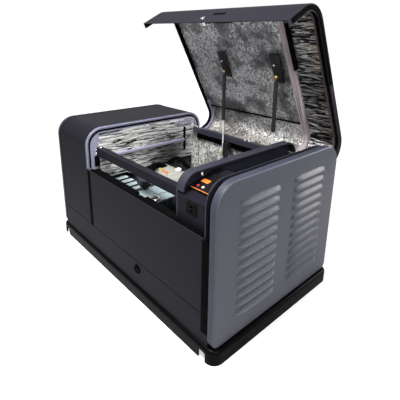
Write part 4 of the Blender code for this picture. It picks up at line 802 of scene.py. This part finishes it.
def turned_piece(sides, rings):
    """A round piece grown upwards ring by ring from (radius, height) pairs."""
    clear()
    bpy.ops.mesh.primitive_circle_add(vertices=sides, radius=rings[0][0], fill_type="NGON",
                                      location=(0.0, 0.0, rings[0][1]))
    piece = bpy.context.object
    bpy.ops.object.transform_apply(location=True)
    bpy.ops.object.mode_set(mode="EDIT")
    bpy.ops.mesh.select_mode(type="FACE")
    bpy.ops.mesh.select_all(action="SELECT")
    for (r0, z0), (r1, z1) in zip(rings, rings[1:]):
        bpy.ops.mesh.extrude_region_move(TRANSFORM_OT_translate={"value": (0.0, 0.0, z1 - z0)})
        bpy.ops.transform.resize(value=(r1 / r0, r1 / r0, 1.0))
    bpy.ops.mesh.select_all(action="SELECT")
    bpy.ops.mesh.normals_make_consistent(inside=False)
    bpy.ops.object.mode_set(mode="OBJECT")
    bpy.ops.object.shade_smooth_by_angle(angle=math.radians(35.0))
    return piece


def aimed(spot, aim):
    return (Matrix.Translation(Vector(spot))
            @ Vector(aim).to_track_quat("Z", "Y").to_matrix().to_4x4())


screw = turned_piece(24, [(1.0, -0.3), (1.0, 0.15), (0.93, 0.38), (0.74, 0.56), (0.48, 0.63),
                          (0.42, 0.63), (0.38, 0.30)])
screw.scale = (0.0058, 0.0058, 0.0058)
bpy.ops.object.transform_apply(scale=True)
socket = turned_piece(24, [(0.0042, -0.0085), (0.0046, -0.0065), (0.0070, -0.0050),
                           (0.0088, -0.0020), (0.0090, 0.0015), (0.0076, 0.0050),
                           (0.0046, 0.0072), (0.0042, 0.0105), (0.0026, 0.0112)])
spots = [("bar_screw_left", (-0.245, -0.284, 0.5453)), ("bar_screw_right", (0.345, -0.284, 0.5453)),
         ("rail_screw_1", (-0.236, 0.308, 0.5553)), ("rail_screw_2", (-0.214, 0.308, 0.5553)),
         ("rail_screw_3", (0.120, 0.308, 0.5553)), ("rail_screw_4", (0.145, 0.308, 0.5553)),
         ("rail_screw_5", (0.345, 0.308, 0.5553))]
for name, spot in spots:
    copy_to(screw, name, aimed(spot, (0, 0, 1)), "enclosure", chrome)
for number, (y, z) in enumerate(((-0.2990, 0.532), (-0.2990, 0.515))):
    copy_to(screw, "hood_frame_screw_%d" % number, aimed((-0.2632, y, z), (1, 0, 0)),
            "enclosure", chrome)
for name, x in (("left", 0.0), ("right", 0.310)):
    for number, y in enumerate((-0.070, -0.012)):
        copy_to(screw, "%s_bracket_screw_%d" % (name, number),
                swing @ aimed((x - 0.010, y, 0.6200), (0, 0, -1)), "lid", chrome)
    slab((x - 0.024, -0.122, 0.6195), (x + 0.026, 0.016, 0.6235), 0.0012)
    swing_open()
    place_piece(name + "_strut_plate", "lid", plain_black)
    copy_to(socket, name + "_upper_socket",
            swing @ aimed((x, -0.020, 0.605), (0, 0, 1)) @ Matrix.Scale(1.3, 4), "lid", brass)
    copy_to(socket, name + "_lower_socket", aimed((x, 0.275, 0.470), (0, 0, 1)) @ Matrix.Scale(1.2, 4),
            "enclosure", brass)
    slab((x + 0.010, 0.268, 0.430), (x + 0.026, 0.294, 0.524), 0.0015)
    place_piece(name + "_strut_post", "enclosure", plain_black)
bpy.data.objects.remove(socket, do_unlink=True)
for name in ("left", "right"):
    low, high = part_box("fixed_hinge_leaf_" + name)
    for number, x in enumerate((low.x + 0.009, high.x - 0.009)):
        small = Matrix.Scale(0.65, 4)
        copy_to(screw, "%s_fixed_leaf_screw_%d" % (name, number),
                aimed((x, 0.3526, low.z + 0.013), (0, 1, 0)) @ small, "enclosure", chrome)
        copy_to(screw, "%s_lid_leaf_screw_%d" % (name, number),
                swing @ aimed((x, 0.3526, 0.541), (0, 1, 0)) @ small, "lid", chrome)


# ------------------------------------------------------------------ engine and alternator
# The engine, its cylinders and the alternator are cast alloy and bolted to the bed. The
# muffler and filter box are zinc-plated sheet, and the housings black moulding.
cast, shader, place = blank("cast_alloy", 0.45, 1.0)
skin = place.node("ShaderNodeTexNoise", {}, {"Vector": place, "Scale": 240.0, "Detail": 4.0})
dirt = place.node("ShaderNodeTexNoise", {}, {"Vector": place, "Scale": 9.0, "Detail": 4.0})
plug(shader, "Base Color", dirt.blend((0.26, 0.30, 0.31), (0.55, 0.60, 0.60)))
plug(shader, "Roughness", 0.32 + dirt * 0.3)
plug(shader, "Normal", place.node("ShaderNodeBump", {}, {"Strength": 0.5, "Distance": 0.0006,
                                                          "Height": skin}))
zinc, shader, place = blank("zinc_plate", 0.3, 1.0)
spangle = place.node("ShaderNodeTexVoronoi", {}, {"Vector": place, "Scale": 70.0})
plug(shader, "Base Color", spangle.blend((0.42, 0.52, 0.53), (0.60, 0.68, 0.69)))
plug(shader, "Roughness", 0.20 + spangle * 0.25)
cream = powder_coat("cream_paint", (0.30, 0.29, 0.255), (0.43, 0.42, 0.38), 0.40, shine=0.25)
mould = powder_coat("black_moulding", (0.0035, 0.0035, 0.0040), (0.0070, 0.0070, 0.0076), 0.38,
                    shine=0.25)
dress(cast, "engine_block", "cylinder_front", "cylinder_rear", "ribbed_shield", "alternator",
      "gas_regulator")
dress(zinc, "air_filter_box", "muffler", "exhaust_pipe")
dress(mould, "blower_housing", "battery", "cooling_fan", "starter_motor", "oil_filter",
      edge=0.0006)


# ------------------------------------------------------------------ control panel
# A black controller lies on the sloped top of the control box, with a row of amber lamps
# along its front edge, and a thermal breaker in a window on the front.
window = powder_coat("matt_black_window", (0.0030, 0.0030, 0.0034), (0.0055, 0.0055, 0.0060), 0.6,
                     shine=0.05)
red = powder_coat("red_button", (0.50, 0.02, 0.03), (0.60, 0.04, 0.05), 0.30)
ivory = powder_coat("white_button", (0.74, 0.74, 0.74), (0.82, 0.82, 0.82), 0.30)
dress(mould, "controller", edge=0.0006)
dress(window, "breaker", "breaker_lever", edge=0.0006)
dress(red, "stop_button")
dress(ivory, "start_button")
slope = math.atan2(0.040, 0.175)
tilt = Matrix.Translation((0.0, -0.325, 0.545)) @ Matrix.Rotation(slope, 4, "X")
amber = powder_coat("amber_lens", (0.80, 0.16, 0.02), (0.90, 0.24, 0.04), 0.30)
lamp_pitch = 0.0085
for number in range(13):
    slab((0.395 + number * lamp_pitch, 0.0400, 0.0098),
         (0.4005 + number * lamp_pitch, 0.0440, 0.0112), 0.0008)
    bpy.context.object.matrix_world = tilt
    place_piece("lamp_%02d" % number, "enclosure", amber)
slab((0.4000, 0.0830, 0.0095), (0.4350, 0.1020, 0.0128), 0.0018)
bpy.context.object.matrix_world = tilt
place_piece("display_block", "enclosure", amber)
slab((0.4430, 0.0780, 0.0095), (0.5000, 0.1300, 0.0118), 0.0020)
bpy.context.object.matrix_world = tilt
place_piece("display_window", "enclosure", mould)
copy_to(screw, "box_screw", tilt @ aimed((0.5065, 0.018, 0.0004), (0, 0, 1)), "enclosure", chrome)
copy_to(screw, "partition_screw", aimed((0.4022, -0.242, 0.600), (1, 0, 0)), "enclosure", chrome)
for number, (x, y, z) in enumerate(((0.3648, -0.21, 0.585), (0.3648, 0.27, 0.585))):
    copy_to(screw, "wall_screw_%d" % number, aimed((x, y, z), (-1, 0, 0)), "enclosure", chrome)


# ------------------------------------------------------------------ engine bay fittings
# A slatted shroud, cream covers, rubber hoses, pipes and leads crowd the top of the engine.
# The covers are pressed or moulded and clipped on; the hoses are pushed over their ends.
slats = powder_coat("pale_slat_paint", (0.32, 0.40, 0.41), (0.60, 0.68, 0.69), 0.24)
slab((-0.2600, -0.2900, 0.3640), (-0.0100, -0.1500, 0.3700), 0.002)
place_piece("shroud_bed", "enclosure", mould)
for number in range(5):
    x = -0.2560 + number * 0.0500
    slab((x, -0.2860, 0.3700), (x + 0.0300, -0.1540, 0.3748), 0.0020, 3)
    place_piece("shroud_slat_%d" % number, "enclosure", slats)
slab((-0.1850, -0.1050, 0.3420), (0.0350, 0.0450, 0.4200), 0.0280, 8)
place_piece("cream_cover", "enclosure", cream)
slab((-0.1450, -0.0700, 0.4190), (-0.0050, 0.0150, 0.4225), 0.0020, 3)
place_piece("cover_plate", "enclosure", cream)
silver = powder_coat("silver_tin", (0.22, 0.29, 0.31), (0.40, 0.48, 0.50), 0.24)
filler = turned_piece(32, [(0.0220, 0.0), (0.0225, 0.004), (0.0200, 0.008), (0.0160, 0.008),
                           (0.0140, 0.001)])
slab((0.0450, -0.3000, 0.4165), (0.1800, -0.1760, 0.4250), 0.0030, 3)
place_piece("filter_lid", "enclosure", silver)
slab((0.0650, -0.2350, 0.4245), (0.1300, -0.1900, 0.4290), 0.0025, 3)
place_piece("filter_lid_rise", "enclosure", silver)
copy_to(filler, "filter_ring", aimed((0.1580, -0.2680, 0.4250), (0, 0, 1)), "enclosure", chrome)
plugged = turned_piece(32, [(0.0138, 0.0), (0.0138, 0.002), (0.0120, 0.003), (0.0040, 0.0035)])
# A black disc in the ring paints the shade inside the filter's hole.
copy_to(plugged, "filter_hole", aimed((0.1580, -0.2680, 0.4252), (0, 0, 1)), "enclosure", slot_shade_and_black_end)
canister = turned_piece(36, [(0.036, 0.0), (0.040, 0.004), (0.040, 0.030), (0.038, 0.033),
                             (0.038, 0.040), (0.040, 0.043), (0.040, 0.085), (0.034, 0.092),
                             (0.020, 0.093), (0.016, 0.100), (0.010, 0.101)])
can_paint = powder_coat("blue_grey_can_paint", (0.070, 0.072, 0.115), (0.110, 0.112, 0.165), 0.34)
copy_to(canister, "fuel_canister", aimed((0.006, -0.232, 0.4480), (1.0, -0.25, -0.05))
        @ Matrix.Scale(0.52, 4), "enclosure", can_paint)
copy_to(plugged, "canister_end", aimed((0.0575, -0.2448, 0.4455), (1.0, -0.25, -0.05))
        @ Matrix.Scale(1.2, 4), "enclosure", slot_shade_and_black_end)
knob = turned_piece(28, [(0.020, 0.0), (0.024, 0.004), (0.026, 0.012), (0.024, 0.020),
                         (0.017, 0.026), (0.008, 0.028)])
copy_to(knob, "filler_knob", aimed((-0.030, 0.004, 0.4220), (0.1, -0.2, 1)) @ Matrix.Scale(0.62, 4),
        "enclosure", ivory)
for piece in (filler, plugged, canister, knob, screw):
    bpy.data.objects.remove(piece, do_unlink=True)


def arch(name, start, end, rise, radius, material, lean=(0.0, 0.0, 1.0), steps=26):
    """A hose sagging or arching between two places."""
    start, end = Vector(start), Vector(end)
    points = [start.lerp(end, i / steps) + Vector(lean) * rise * math.sin(math.pi * i / steps)
              for i in range(steps + 1)]
    return bead(name, "enclosure", material, points, radius, 4)


arch("hose_1", (-0.190, 0.020, 0.350), (-0.020, 0.075, 0.400), 0.085, 0.0105, rubber)
arch("pipe_1", (-0.245, -0.140, 0.392), (-0.030, -0.152, 0.402), 0.010, 0.0050, ivory)
arch("pipe_2", (-0.180, -0.146, 0.402), (0.070, -0.168, 0.424), 0.014, 0.0042, chrome)
arch("fuel_line", (-0.250, -0.128, 0.396), (-0.050, -0.118, 0.405), 0.030, 0.0065, rubber)
stations = [Vector(spot) for spot in (
    (0.0217, -0.205, 0.396), (0.000, -0.200, 0.398), (-0.045, -0.168, 0.420), (-0.085, -0.118, 0.442),
    (-0.122, -0.060, 0.442), (-0.130, -0.005, 0.416), (-0.128, 0.028, 0.385), (-0.128, 0.030, 0.350))]
hose = []
for first, start, end, last in zip([stations[0]] + stations, stations, stations[1:],
                                   stations[2:] + [stations[-1]]):
    for step in range(16):
        t = step / 16
        bent = 2 * first - 5 * start + 4 * end - last
        skewed = 3 * start - first - 3 * end + last
        hose.append(0.5 * (2 * start + (end - first) * t + bent * t * t + skewed * t ** 3))
bead("ribbed_intake_hose", "enclosure", rubber, hose, 0.0138, 4, 0.16, ["intake_hose"])
arch("pipe_3", (0.020, -0.120, 0.385), (0.120, -0.110, 0.420), 0.012, 0.0050, zinc)
cap_yellow = powder_coat("yellow_cap", (0.62, 0.50, 0.04), (0.72, 0.60, 0.08), 0.35)
for number, (x, y, paint) in enumerate(((-0.085, -0.060, amber), (-0.055, -0.062, amber),
                                        (-0.118, -0.056, cap_yellow))):
    slab((x, y, 0.4222), (x + 0.018, y + 0.012, 0.4290), 0.0020, 3)
    place_piece("cover_cap_%d" % number, "enclosure", paint)
arch("lead_1", (0.150, -0.120, 0.360), (0.360, -0.200, 0.420), 0.040, 0.0040, rubber)
arch("lead_2", (0.150, -0.060, 0.360), (0.360, -0.180, 0.420), 0.060, 0.0040, rubber)
arch("lead_3", (0.060, 0.060, 0.350), (0.360, -0.150, 0.430), 0.050, 0.0040, rubber)
